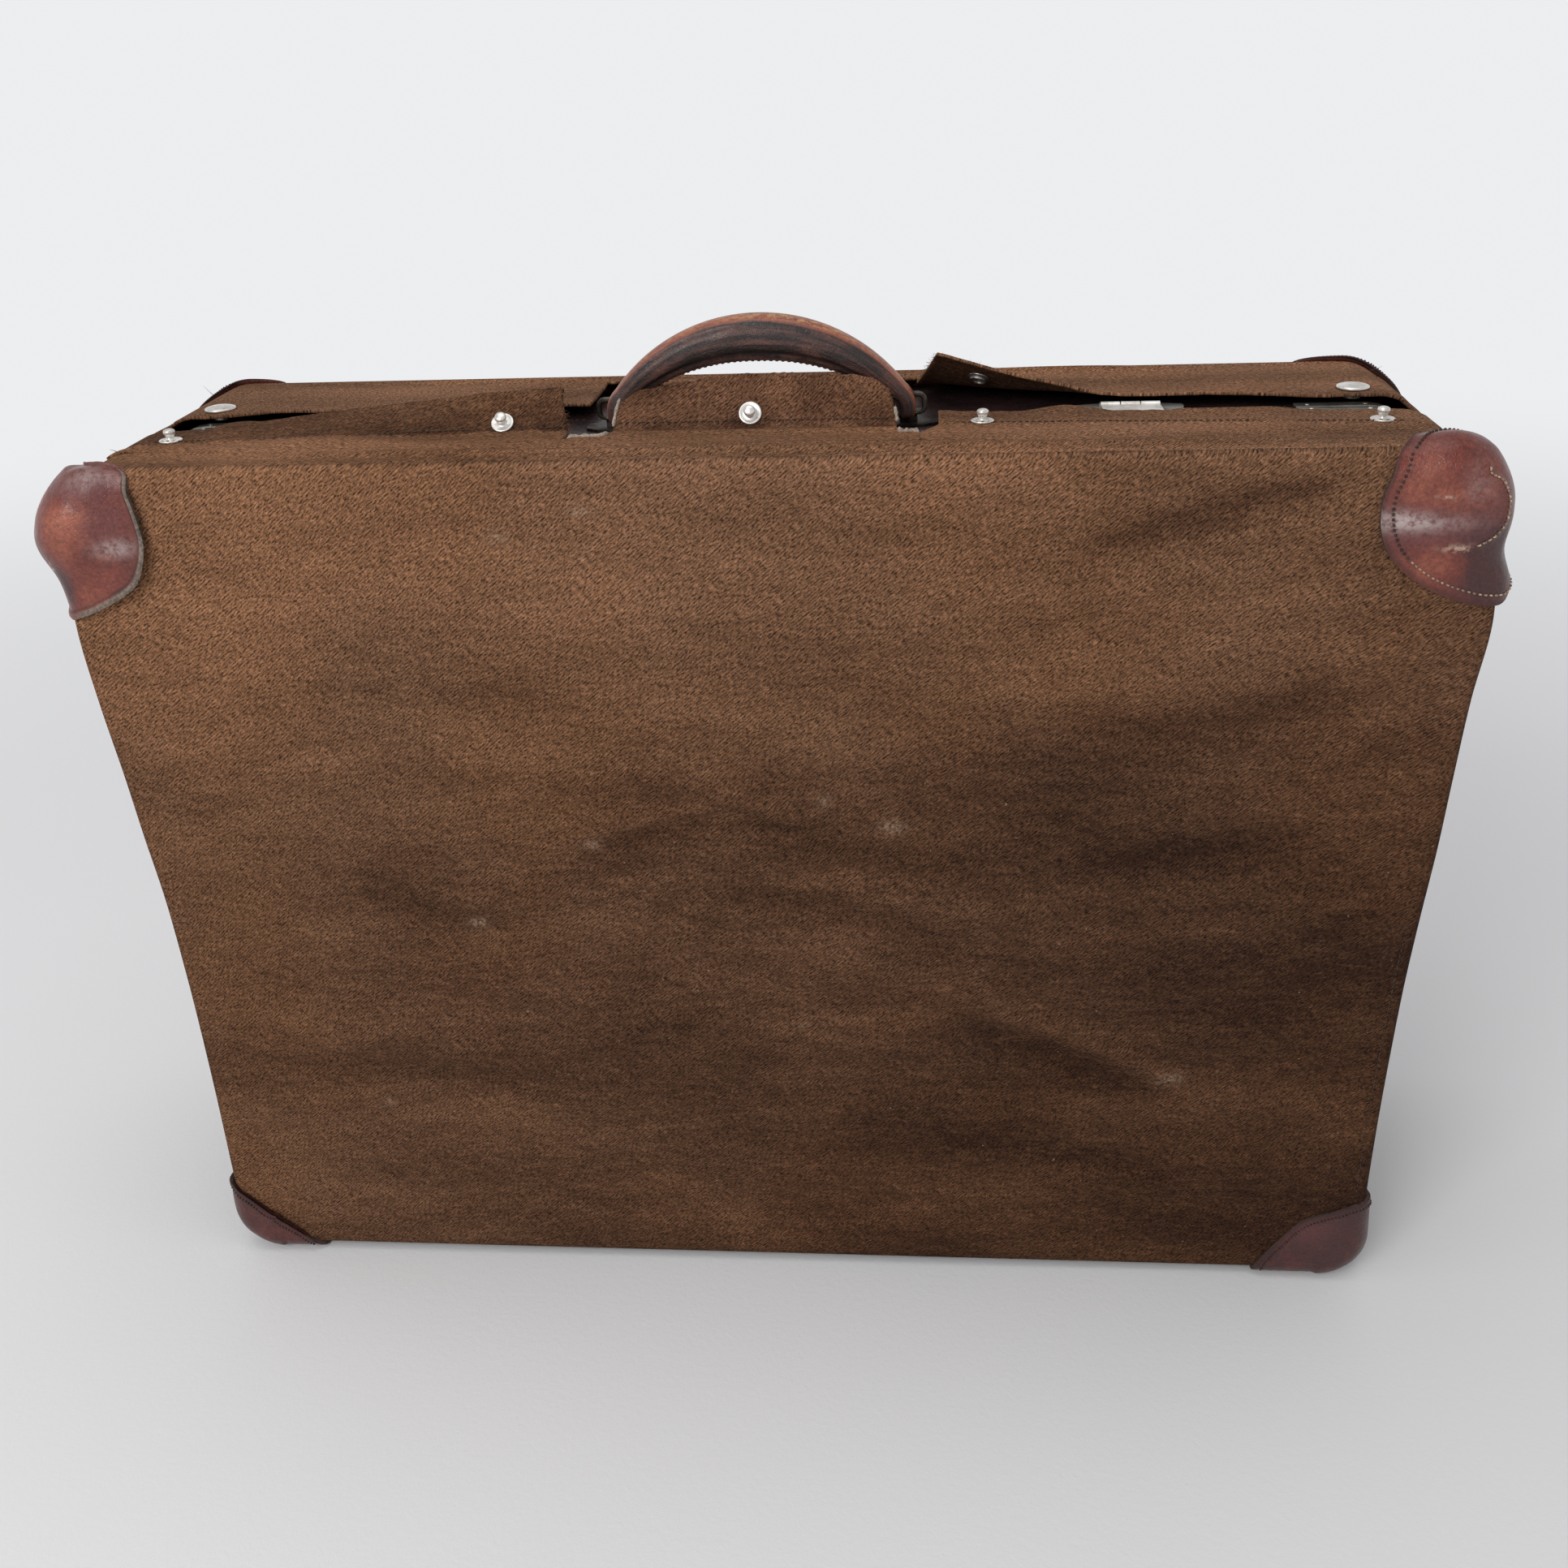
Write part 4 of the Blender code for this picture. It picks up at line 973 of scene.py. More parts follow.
def end_cut(side, x, s):
    """How the flap's end beside the handle is cut: aslant at the left, stepped in at the right."""
    if side == "left":
        return -0.005 * smooth_step((s - 0.40) / 0.60) * np.exp((x - FLAP_LEFT_END) / 0.020)
    start = (FLAP_RIGHT_START - NOTCH_END) * (1 - smooth_step((s - 0.25) / 0.30))
    return -start * np.exp(-(x - FLAP_RIGHT_START) / 0.020)


def front_flaps():
    rows = np.concatenate([np.linspace(0, 0.10, 9)[:-1], np.linspace(0.10, 1.0, 44)])
    spans = {
        "left": (-OPENING_END, FLAP_LEFT_END, left_lift, 51),
        "right": (FLAP_RIGHT_START, OPENING_END, no_lift, 52),
    }
    for side, (start, end, lift, seed) in spans.items():
        x, s = np.meshgrid(np.linspace(start, end, 141), rows)
        points = front_flap_points(x, s, lift)
        y = points[..., 1]
        free = smooth_step((s - 0.12) / 0.2)
        near_studs = sum(np.exp(-(((x - stud) / 0.016) ** 2)) for stud in STUD_X[side])
        wave = 0.0009 * ripples(x, y, 0.060, 1.0, seed) * free * (1 - 0.85 * np.clip(near_studs, 0, 1))
        wave *= end_fade(x) if side == "left" else smooth_step((OPENING_END - x) / 0.03)
        hem_line = smooth_step((y - (front_edge(x) - HEM)) / 0.0016)
        hem_step = 0.0005 * hem_line
        relief = crease_relief(x, y) * (1 - free) + np.maximum(wave, -0.0002) + hem_step
        points[..., 2] += relief * np.cos(lift(x))
        points[..., 1] += ragged(x, seed, 0.00035) * smooth_step((s - 0.9) / 0.1)
        points[..., 0] += end_cut(side, x, s)
        soil = top_soil(x, y, 42) + (0.26 if side == "left" else 0.10) * hem_line
        if side == "left":
            soil += 0.30 * np.exp((x - FLAP_LEFT_END) / 0.070) * hem_line
        node = f"front_flap_{side}"
        flap(f"{node}_cloth", node, points, x, soil)


STUD_X = {"left": (-0.293, -0.127), "right": (0.107, 0.291)}
TAB_LENGTH, TAB_LEAN, TAB_TAPER = 0.026, math.radians(62), 0.11


def tab_points(x, away):
    """The tab under the handle: a distance past its fold, narrower at its free edge."""
    middle = (TAB_LEFT + TAB_RIGHT) / 2
    s = np.clip(away / TAB_LENGTH, 0, 1)
    narrow = 1 - TAB_TAPER * s**1.6
    along, above = bend_over(away + BEND, 2 * BEND, TAB_LEAN + 0 * away)
    return np.stack([middle + (x - middle) * narrow, TAB_FOLD - BEND + along, TOP + above], axis=2)


def tab_reach(x):
    """The tab's length at each x: longest beside the handle's middle, with round corners."""
    share = (x - (TAB_LEFT + TAB_RIGHT) / 2) / ((TAB_RIGHT - TAB_LEFT) / 2)
    arch = 0.0090 * (np.abs(share - 0.15) / 1.15) ** 2.2
    return TAB_LENGTH - arch - 0.0045 * smooth_step((np.abs(share) - 0.86) / 0.14) ** 2


def front_tab():
    away = np.concatenate([np.linspace(-BEND, BEND, 11)[:-1], np.linspace(BEND, TAB_LENGTH, 26)])
    x, a = np.meshgrid(np.linspace(TAB_LEFT, TAB_RIGHT, 101), away)
    a = np.where(a > BEND, BEND + (a - BEND) * (tab_reach(x) - BEND) / (TAB_LENGTH - BEND), a)
    points = tab_points(x, a)
    free = smooth_step(a / TAB_LENGTH)
    off_stud = 1 - np.exp(-(((x + 0.005) / 0.024) ** 4))
    points[..., 1] += 0.0010 * ripples(x, a, 0.050, 1.0, 61) * free * off_stud
    points[..., 2] += ragged(x, 62, 0.0003) * smooth_step((a / tab_reach(x) - 0.85) / 0.15)
    # Darker along the fold: painted shade in its crease.
    soil = 0.34 + 0.10 * ripples(x, a, 0.03, 1.0, 63) + 0.10 * np.exp(-((a / 0.004) ** 2))
    flap("front_tab_cloth", "front_centre_tab", points, x, soil, "hem")


def rear_lift(x, y):
    """The corner beside the handle, bent up across a slanting line."""
    past = 1 - (x - FLAP_RIGHT_START) / 0.090 - (y - 0.0210) / 0.045
    past = np.maximum(past, 0.0)
    return 0.022 * np.where(past < 0.25, 2 * past * past, past - 0.125) / 0.875


def rear_points(x, s):
    start = REAR_FOLD + BEND
    y = start + s * (rear_edge(x) - start)
    return np.stack([x, y, top_height(x)], axis=2)


def rear_right_points(x, s):
    points = rear_points(x, s)
    points[..., 2] += rear_lift(x, points[..., 1])
    points[..., 0] -= slant(x, s)
    return points


def slant(x, s):
    """The cut end of the rear right flap runs aslant."""
    return 0.012 * (1 - s) * smooth_step(s / 0.15) * np.exp(-(x - FLAP_RIGHT_START) / 0.030)


def rear_flaps():
    rows = np.concatenate([np.linspace(0, 0.12, 9)[:-1], np.linspace(0.12, 1.0, 40)])
    spans = {
        "rear_flap_left": (-OPENING_END, FLAP_LEFT_END, 71, 141),
        "rear_centre_tab": (REAR_TAB_LEFT, REAR_TAB_RIGHT, 72, 81),
        "rear_flap_right": (FLAP_RIGHT_START, OPENING_END, 73, 141),
    }
    for node, (start, end, seed, columns) in spans.items():
        x, s = np.meshgrid(np.linspace(start, end, columns), rows)
        points = rear_points(x, s)
        y = points[..., 1]
        free = smooth_step((s - 0.12) / 0.2)
        wave = 0.0007 * ripples(x, y, 0.050, 1.6, seed) * free * end_fade(x)
        points[..., 2] += crease_relief(x, y) * (1 - free) * end_fade(x) + np.maximum(wave, -0.0002)
        if node == "rear_flap_right":
            points[..., 2] += rear_lift(x, y)
            points[..., 0] -= slant(x, s)
        points[..., 1] += ragged(x, seed, 0.0003) * smooth_step((s - 0.9) / 0.1)
        soil = top_soil(x, y, 43) + 0.10 * smooth_step((s - 0.55) / 0.4)
        flap(f"{node}_cloth", node, points, x, soil, flip=True)


# The leather corner caps, worked in each corner's own lengths: u in from the side of the
# cover, v in from its top or bottom, and w in from its front or rear.


def corner_place(u, v, w, lift, edge):
    """Point and outward normal on a cap, from a place on the sharp box round the corner."""
    core_u, core_v = np.maximum(u, CORNER), np.maximum(v, CORNER)
    out_u, out_v = core_u - u, core_v - v
    reach = np.maximum(out_u, out_v)
    length = np.maximum(np.hypot(out_u, out_v), 1e-9)
    flat = reach < 1e-9
    turn_u = np.where(flat, (u < v) * 1.0, out_u / length)
    turn_v = np.where(flat, (u >= v) * 1.0, out_v / length)
    inset = np.where(flat, np.minimum(u, v), CORNER - reach)
    core_i, core_w = np.maximum(inset, edge), np.maximum(w, edge)
    out_i, out_w = core_i - inset, core_w - w
    length = np.maximum(np.hypot(out_i, out_w), 1e-9)
    turn_i, turn_w = out_i / length, out_w / length
    reach_edge = np.maximum(out_i, out_w)
    shift = inset - (core_i - turn_i * reach_edge)
    new_u = core_u - turn_u * (reach + shift)
    new_v = core_v - turn_v * (reach + shift)
    new_u, new_v = np.where(flat, u - turn_u * shift, new_u), np.where(flat, v - turn_v * shift, new_v)
    normal = np.stack([turn_u * turn_i, turn_v * turn_i, turn_w], axis=-1)
    place = np.stack([new_u, new_v, core_w - turn_w * reach_edge], axis=-1)
    return place - normal * np.asarray(lift)[..., None], normal


def on_box(turn, reach):
    """(u, v, w) on the sharp box: turn runs over the large face, the side and the top or bottom."""
    face = np.minimum(turn // 90, 2)
    angle = np.radians(turn - 90 * face)
    one, two = reach * np.cos(angle), reach * np.sin(angle)
    zero = np.zeros_like(one)
    u = np.select([face == 0, face == 1], [one, zero], two)
    v = np.select([face == 0, face == 1], [two, one], zero)
    w = np.select([face == 0, face == 1], [zero, two], one)
    return u, v, w


CAP_USUAL = {
    "edge": 0.0075, "stand": 0.0028, "bulge": 0.0010, "lip": 0.0003,
    "raw": "dark_rim", "inset": 0.0042, "thread": "dark_thread",
}
TOP_REAR = {"edge": 0.0070, "stand": 0.0022, "bulge": 0.0008, "lip": 0.0008}
CAPS = {
    # Each cap's outline, in millimetres from the corner at turns of 0 to 270 degrees, and what
    # differs from CAP_USUAL.
    "top_front_left": (
        {
            0: 37, 16: 40.5, 30: 48, 40: 55.5, 47: 60, 57: 66, 67: 68, 80: 71,
            90: 74, 120: 58, 150: 40, 180: 29, 215: 20, 240: 19, 258: 27,
        },
        {
            "edge": 0.0120, "stand": 0.0032, "bulge": 0.0044, "lip": 0.0012,
            "raw": "raw_hide", "thread": None,
        },
    ),
    "top_front_right": (
        {
            0: 45, 12: 49, 25: 57, 35: 62, 45: 66, 53: 68, 65: 70, 78: 71,
            90: 71, 120: 58, 150: 42, 180: 33, 205: 31, 231: 33, 255: 40,
        },
        {"edge": 0.0120, "stand": 0.0034, "bulge": 0.0046, "lip": 0.0, "inset": 0.0056},
    ),
    "bottom_front_left": (
        {0: 49, 12: 42, 38: 34, 80: 41, 90: 46, 120: 46, 150: 48, 180: 50, 225: 48},
        {"lip": 0.0010, "inset": 0.0040},
    ),
    "bottom_front_right": (
        {0: 61, 22: 55, 49: 53, 69: 50, 90: 53, 120: 50, 150: 48, 180: 50, 225: 52},
        {"bulge": 0.0012, "lip": 0.0002, "inset": 0.0040},
    ),
    "top_rear_left": (
        {0: 42, 30: 50, 60: 64, 90: 72, 120: 52, 150: 34, 180: 24, 215: 18, 240: 17, 258: 24}, TOP_REAR
    ),
    "top_rear_right": (
        {0: 48, 30: 54, 60: 65, 90: 71, 120: 52, 150: 34, 180: 24, 215: 18, 240: 18, 258: 27}, TOP_REAR
    ),
    "bottom_rear_left": ({0: 57, 45: 54, 90: 52, 135: 50, 180: 50, 225: 53}, {}),
    "bottom_rear_right": ({0: 56, 45: 55, 90: 52, 135: 50, 180: 50, 225: 52}, {}),
}
CAP_MARKS = {
    # Field, centre (u, v), half sizes, amount. Metres. Marks that pale the colour where the leather gleams
    # are painted highlights.
    "top_front_left": [
        ("tone", (0.013, 0.020), (0.009, 0.010), 0.42),
        ("tone", (0.010, 0.036), (0.006, 0.009), 0.24),
        ("plum", (0.026, 0.022), (0.011, 0.012), 0.95),
        ("plum", (0.020, 0.006), (0.020, 0.005), 0.80),
        ("tone", (0.022, 0.056), (0.014, 0.010), 0.10),
        ("tone", (0.029, 0.061), (0.0035, 0.0035), -0.75),
        ("tone", (0.004, 0.056), (0.004, 0.014), -0.55),
        ("scuff", (0.002, 0.046), (0.0016, 0.003), 1.0),
        ("tone", (0.034, 0.040), (0.010, 0.010), -0.12),
        ("shine", (0.030, 0.036), (0.008, 0.0040), 0.85),
        ("shine", (0.022, 0.003), (0.016, 0.0040), 0.40),
    ],
    "top_front_right": [
        ("tone", (0.026, 0.019), (0.016, 0.009), 0.22),
        ("tone", (0.030, 0.053), (0.012, 0.009), 0.14),
        ("plum", (0.040, 0.034), (0.016, 0.010), 0.90),
        ("plum", (0.020, 0.034), (0.012, 0.007), 0.70),
        ("tone", (0.008, 0.052), (0.009, 0.014), -0.60),
        ("tone", (0.012, 0.036), (0.008, 0.005), -0.30),
        ("scuff", (0.020, 0.043), (0.006, 0.0016), 1.0),
        ("tone", (0.018, 0.062), (0.014, 0.006), -0.22),
        ("scuff", (0.026, 0.019), (0.004, 0.0006), 0.8),
        ("shine", (0.044, 0.031), (0.012, 0.0046), 0.95),
        ("shine", (0.028, 0.031), (0.014, 0.0034), 0.45),
        ("shine", (0.012, 0.012), (0.006, 0.0100), 0.25),
    ],
    "bottom_front_left": [
        ("tone", (0.018, 0.012), (0.014, 0.008), 0.12),
        ("tone", (0.004, 0.030), (0.007, 0.008), -0.60),
        ("plum", (0.020, 0.022), (0.010, 0.008), 0.30),
    ],
    "bottom_front_right": [
        ("tone", (0.024, 0.024), (0.012, 0.010), 0.06),
        ("tone", (0.030, 0.004), (0.030, 0.004), -0.45),
        ("tone", (0.006, 0.034), (0.007, 0.016), -0.30),
        ("plum", (0.034, 0.034), (0.014, 0.010), 0.75),
    ],
}
CAP_RIDGE = [
    (0.007, 0.004), (0.003, 0.013), (0.0015, 0.022), (0.003, 0.031), (0.008, 0.038), (0.014, 0.043),
]


def cap_facts(name):
    return {**CAP_USUAL, **CAPS[name][1]}


def cap_outline(name):
    """How far the cap reaches from the corner, in metres, by the turn in degrees."""
    outline = dict(CAPS[name][0])
    outline[270] = outline[0]
    turns = sorted(outline)
    knots = [t - 270 for t in turns[-3:-1]] + turns + [t + 270 for t in turns[1:3]]
    reach = [outline[t % 270 if t not in outline else t] for t in knots]
    return lambda turn: smooth_curve(knots, np.array(reach) / 1000, turn)


def cap_lift(name, share, u, v, w):
    """How far a cap's outer face stands off the canvas."""
    facts = cap_facts(name)
    lift = facts["stand"] + facts["bulge"] * smooth_step((1 - share) / 0.55)
    lift = lift + facts["lip"] * np.exp(-(((share - 0.975) / 0.022) ** 2))
    lift = lift + 0.00025 * ripples(u + w, v + w, 0.030, 1.0, len(name)) * (1 - share**4)
    if name == "top_front_right":
        away, _ = along_line(u, v, CAP_RIDGE)
        lift = lift + 0.0010 * np.exp(-((away / 0.0022) ** 2) - (w / 0.010) ** 2)
        lift = lift - 0.0016 * np.exp(-(((v - 0.045) / 0.009) ** 2) - (u / 0.014) ** 2)
        lift = lift + 0.0040 * np.exp(-(((v - 0.064) / 0.010) ** 2) - (u / 0.012) ** 2)
    if name == "top_front_left":
        swell = 0.0066 * np.exp(-(((v - 0.032) / 0.016) ** 2) - (u / 0.020) ** 2)
        lift = lift + swell * smooth_step((1 - share) / 0.45)
    if name.startswith("bottom"):
        on_floor = (v < 1e-6) | (v < 0.35 * CORNER) & (u > CORNER)
        lift = np.where(on_floor, np.minimum(lift, 0.0032), lift)
    return lift


def cap_world(name, place, normal):
    """From a corner's own lengths to the shared frame."""
    level, face, side = name.split("_")
    sign_x, sign_y, sign_z = SIDES[side], (-1 if face == "front" else 1), (1 if level == "top" else -1)
    x = sign_x * (HALF - place[..., 0])
    z = TOP - place[..., 1] if sign_z > 0 else BOTTOM + place[..., 1]
    y = sign_y * (BACK - place[..., 2])
    x = settled(np.stack([x, y, z], axis=-1))[..., 0]
    if sign_z < 0:
        z = np.maximum(z, 0.0003)
    out = np.stack([sign_x * normal[..., 0], sign_y * normal[..., 2], sign_z * normal[..., 1]], axis=-1)
    return np.stack([x, y, z], axis=-1), out


def corner_cap(name):
    facts, outline = cap_facts(name), cap_outline(name)
    turns = np.linspace(0, 270, 145)
    shares = np.concatenate([np.linspace(0.02, 0.86, 26), np.linspace(0.88, 1.0, 13)])
    turn, share = np.meshgrid(turns, shares)
    u, v, w = on_box(turn, outline(turn) * share)
    place, normal = corner_place(u, v, w, cap_lift(name, share, u, v, w), facts["edge"])
    points, _ = cap_world(name, place, normal)
    rows, columns = share.shape
    vertices = list(points[:, :-1].reshape(-1, 3))
    faces = grid_faces(rows, columns - 1, wrap=True)
    tip = len(vertices)
    vertices.append(points[0].mean(axis=0))
    faces += [(tip, (j + 1) % (columns - 1), j) for j in range(columns - 1)]
    level, face, side = name.split("_")
    if SIDES[side] * (-1 if face == "front" else 1) * (1 if level == "top" else -1) < 0:
        faces = [f[::-1] for f in faces]
    piece = to_object(f"corner_cap_{name}_hide", vertices, faces, ["cap"])
    fields = {
        "tone": 0.40 + 0.10 * ripples(u + w, v, 0.05, 1.0, len(name) + 3),
        "plum": np.full(share.shape, 0.25),
        "scuff": np.zeros(share.shape),
        "rim": 0.75 * smooth_step((share - 0.945) / 0.04) + 0.15 * smooth_step((share - 0.80) / 0.12),
        "raw": np.zeros(share.shape),
        "shine": np.zeros(share.shape),
    }
    if facts["raw"] == "raw_hide":
        fields["raw"] = smooth_step((share - 0.955) / 0.012) * smooth_step((88 - turn) / 6)
        fields["rim"] = np.exp(-(((share - 0.945) / 0.012) ** 2))
    for field, (cu, cv), (su, sv), amount in CAP_MARKS.get(name, []):
        mark = np.exp(-(((u - cu) / su) ** 2) - ((v - cv) / sv) ** 2 - (w / 0.02) ** 2)
        fields[field] = fields[field] + amount * mark
    # The rear caps, and more the bottom ones, are painted darker: painted shade.
    if face == "rear" or level == "bottom":
        fields["tone"] = fields["tone"] - (0.46 if level == "bottom" else 0.32)
    place_field = np.concatenate([points[:, :-1].reshape(-1, 3), [points[0].mean(axis=0)]])
    for key, value in fields.items():
        fields[key] = np.append(np.clip(value, 0, 1)[:, :-1].ravel(), value[0, 0])
    paint(piece, place=place_field, **fields)
    thicken(piece, 0.0026, facts["raw"], bevel=0.0006)
    stand_for(piece, ROOT, "cap_leather", f"corner_cap_{name}")
    if facts["thread"]:
        cap_stitches(name, outline, facts)


def cap_thread(name, runs, thread, pitch, radius, share):
    stitches(f"cap_stitches_{name}", runs, ROOT, "cap_leather", thread, pitch, radius, share)


def cap_stitches(name, outline, facts):
    """The thread along a cap's edge, and on the top right one the thread of its ridge."""
    turns = np.linspace(2, 268, 400)
    reach = outline(turns) - facts["inset"]
    share = reach / outline(turns)
    u, v, w = on_box(turns, reach)
    place, normal = corner_place(u, v, w, cap_lift(name, share, u, v, w) + 0.0001, facts["edge"])
    at, out = cap_world(name, place, normal)
    if name != "top_front_right":
        cap_thread(name, [(at, out)], facts["thread"], 0.0020, 0.00052, 0.62)
        return
    worn = (turns > 52) & (turns < 104)
    runs = [(at[turns <= 52], out[turns <= 52]), (at[turns >= 104], out[turns >= 104])]
    cap_thread(name, runs, facts["thread"], 0.0025, 0.00060, 0.58)
    cap_thread("worn", [(at[worn], out[worn])], "pale_thread", 0.0025, 0.00045, 0.6)
    line = np.array(CAP_RIDGE)
    at = np.linspace(0, len(line) - 1, 60)
    u, v = (np.interp(at, range(len(line)), line[:, k]) for k in (0, 1))
    w = np.zeros_like(u)
    lift = cap_lift(name, np.hypot(u, v) / outline(np.degrees(np.arctan2(v, u))), u, v, w) + 0.0002
    place, normal = corner_place(u, v, w, lift, facts["edge"])
    runs = [cap_world(name, place, normal)]
    stitches("cap_ridge_thread", runs, ROOT, "cap_leather", "pale_thread", 0.0024, 0.0005, 0.7)


# Press studs.

STUD_PROFILE = [
    (0.0, -0.0025), (0.0042, -0.0025), (0.0045, -0.0021), (0.0045, -0.0018), (0.0014, -0.0018),
    (0.0014, 0.0002), (0.0051, 0.0002), (0.0055, 0.0004), (0.0056, 0.0008), (0.0053, 0.0011),
    (0.0047, 0.0011), (0.0041, 0.0008), (0.0027, 0.0009), (0.0020, 0.0013), (0.0018, 0.0022),
    (0.0022, 0.0031), (0.0027, 0.0039), (0.0029, 0.0048), (0.0027, 0.0056), (0.0020, 0.0061),
    (0.0010, 0.0064), (0.0, 0.0064),
]
CAP_PROFILE = [
    (0.0, -0.0028), (0.0014, -0.0028), (0.0014, 0.0002), (0.0074, 0.0002), (0.0079, 0.0004),
    (0.0081, 0.0009), (0.0079, 0.0014), (0.0073, 0.0017), (0.0058, 0.0021), (0.0038, 0.0024),
    (0.0018, 0.0026), (0.0, 0.0027),
]
SOCKET_PROFILE = [
    (0.0016, -0.0018), (0.0052, -0.0018), (0.0056, -0.0021), (0.0056, -0.0025), (0.0050, -0.0029),
    (0.0046, -0.0030), (0.0045, -0.0041), (0.0042, -0.0046), (0.0037, -0.0046), (0.0034, -0.0042),
    (0.0034, -0.0031), (0.0016, -0.0028), (0.0016, -0.0018),
]
FASTENERS = {
    # Kind: profile, lowest height of the CAD's turned piece, and the slot, also the material.
    "press_stud": (STUD_PROFILE, -0.0025, "nickel"),
    "snap_cap": (CAP_PROFILE, -0.0028, "nickel"),
    "snap_socket": (SOCKET_PROFILE, -0.0046, "steel"),
}


def axis_frame(node, lowest):
    """The placement a turned CAD piece was made on, from its own symmetry."""
    mesh = NODES[node].data
    areas = np.array([face.area for face in mesh.polygons])
    normals = np.array([face.normal for face in mesh.polygons], float)
    centre = areas @ np.array([face.center for face in mesh.polygons], float) / areas.sum()
    values, vectors = np.linalg.eigh((normals * areas[:, None]).T @ normals)
    odd = 0 if abs(values[0] - values[1]) > abs(values[1] - values[2]) else 2
    axis = vectors[:, odd] * (1 if vectors[2, odd] > 0 else -1)
    heights = (np.array([v.co for v in mesh.vertices], float) - centre) @ axis
    origin = centre + axis * (heights.min() - lowest)
    side = np.cross([0.0, 1.0, 0.0], axis)
    side /= np.linalg.norm(side)
    matrix = Matrix((side, np.cross(axis, side), axis)).transposed().to_4x4()
    return Matrix.Translation(origin) @ matrix


def fasteners():
    """Five studs on the front flaps, and five caps with their sockets on the rear ones."""
    flap_of = {"1": "left", "2": "left", "4": "right", "5": "right"}
    for kind, (profile, lowest, slot) in FASTENERS.items():
        for label in "12345":
            node = f"{kind}_{label}"
            face = "front" if kind == "press_stud" else "rear"
            body = f"{face}_centre_tab" if label == "3" else f"{face}_flap_{flap_of[label]}"
            vertices, faces = turned(profile, axis_frame(node, lowest), 48)
            piece = to_object(f"{node}_metal", vertices, faces, [slot])
            stand_for(piece, body, slot, node)


# The handle.

GRIP_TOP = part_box("handle_grip")[1].z
HANDLE_ARC = 0.093
GRIP_ZONES = (48, 128, 148)
GRIP_SWEEP, GRIP_END = math.radians(52), math.radians(66)


def grip_station(turn):
    """Centre, outward direction, thickness and width of the grip at an angle from its middle."""
    share = min(abs(turn) / GRIP_SWEEP, 1.0)
    thick = 0.0220 - 0.0110 * share**1.7
    wide = 0.0205 - 0.0065 * share**2
    middle = HANDLE_ARC - thick / 2
    top = GRIP_TOP - HANDLE_ARC
    bent = min(abs(turn), GRIP_SWEEP)
    x, z = middle * math.sin(bent), top + middle * math.cos(bent)
    lean = bent
    past = abs(turn) - GRIP_SWEEP
    if past > 0:
        lean = bent + 3.2 * past
        step = past * 0.062
        x += step * math.cos(lean - 0.35)
        z -= step * math.sin(lean - 0.35)
        thick *= 1 - 0.9 * past
    sign = 1 if turn > 0 else -1
    return (HANDLE_PIVOT.x + sign * x, z), (sign * math.sin(lean), math.cos(lean)), thick, wide


def grip_bump(angle):
    """Ridges and grooves round the grip's section, by the angle in degrees from its top."""
    ridge, groove, lip = GRIP_ZONES
    bump = 0.0005 * math.exp(-(((angle - ridge) / 8) ** 2))
    bump -= 0.0003 * math.exp(-(((angle - ridge - 16) / 9) ** 2))
    bump -= 0.0009 * math.exp(-(((angle - groove) / 6) ** 2))
    return bump + 0.0009 * math.exp(-(((angle - lip) / 9) ** 2))


def grip_square(around):
    """How far the grip's section, a rounded square of half width 1, reaches at an angle."""
    return (abs(math.cos(around)) ** 2.6 + abs(math.sin(around)) ** 2.6) ** (-1 / 2.6)


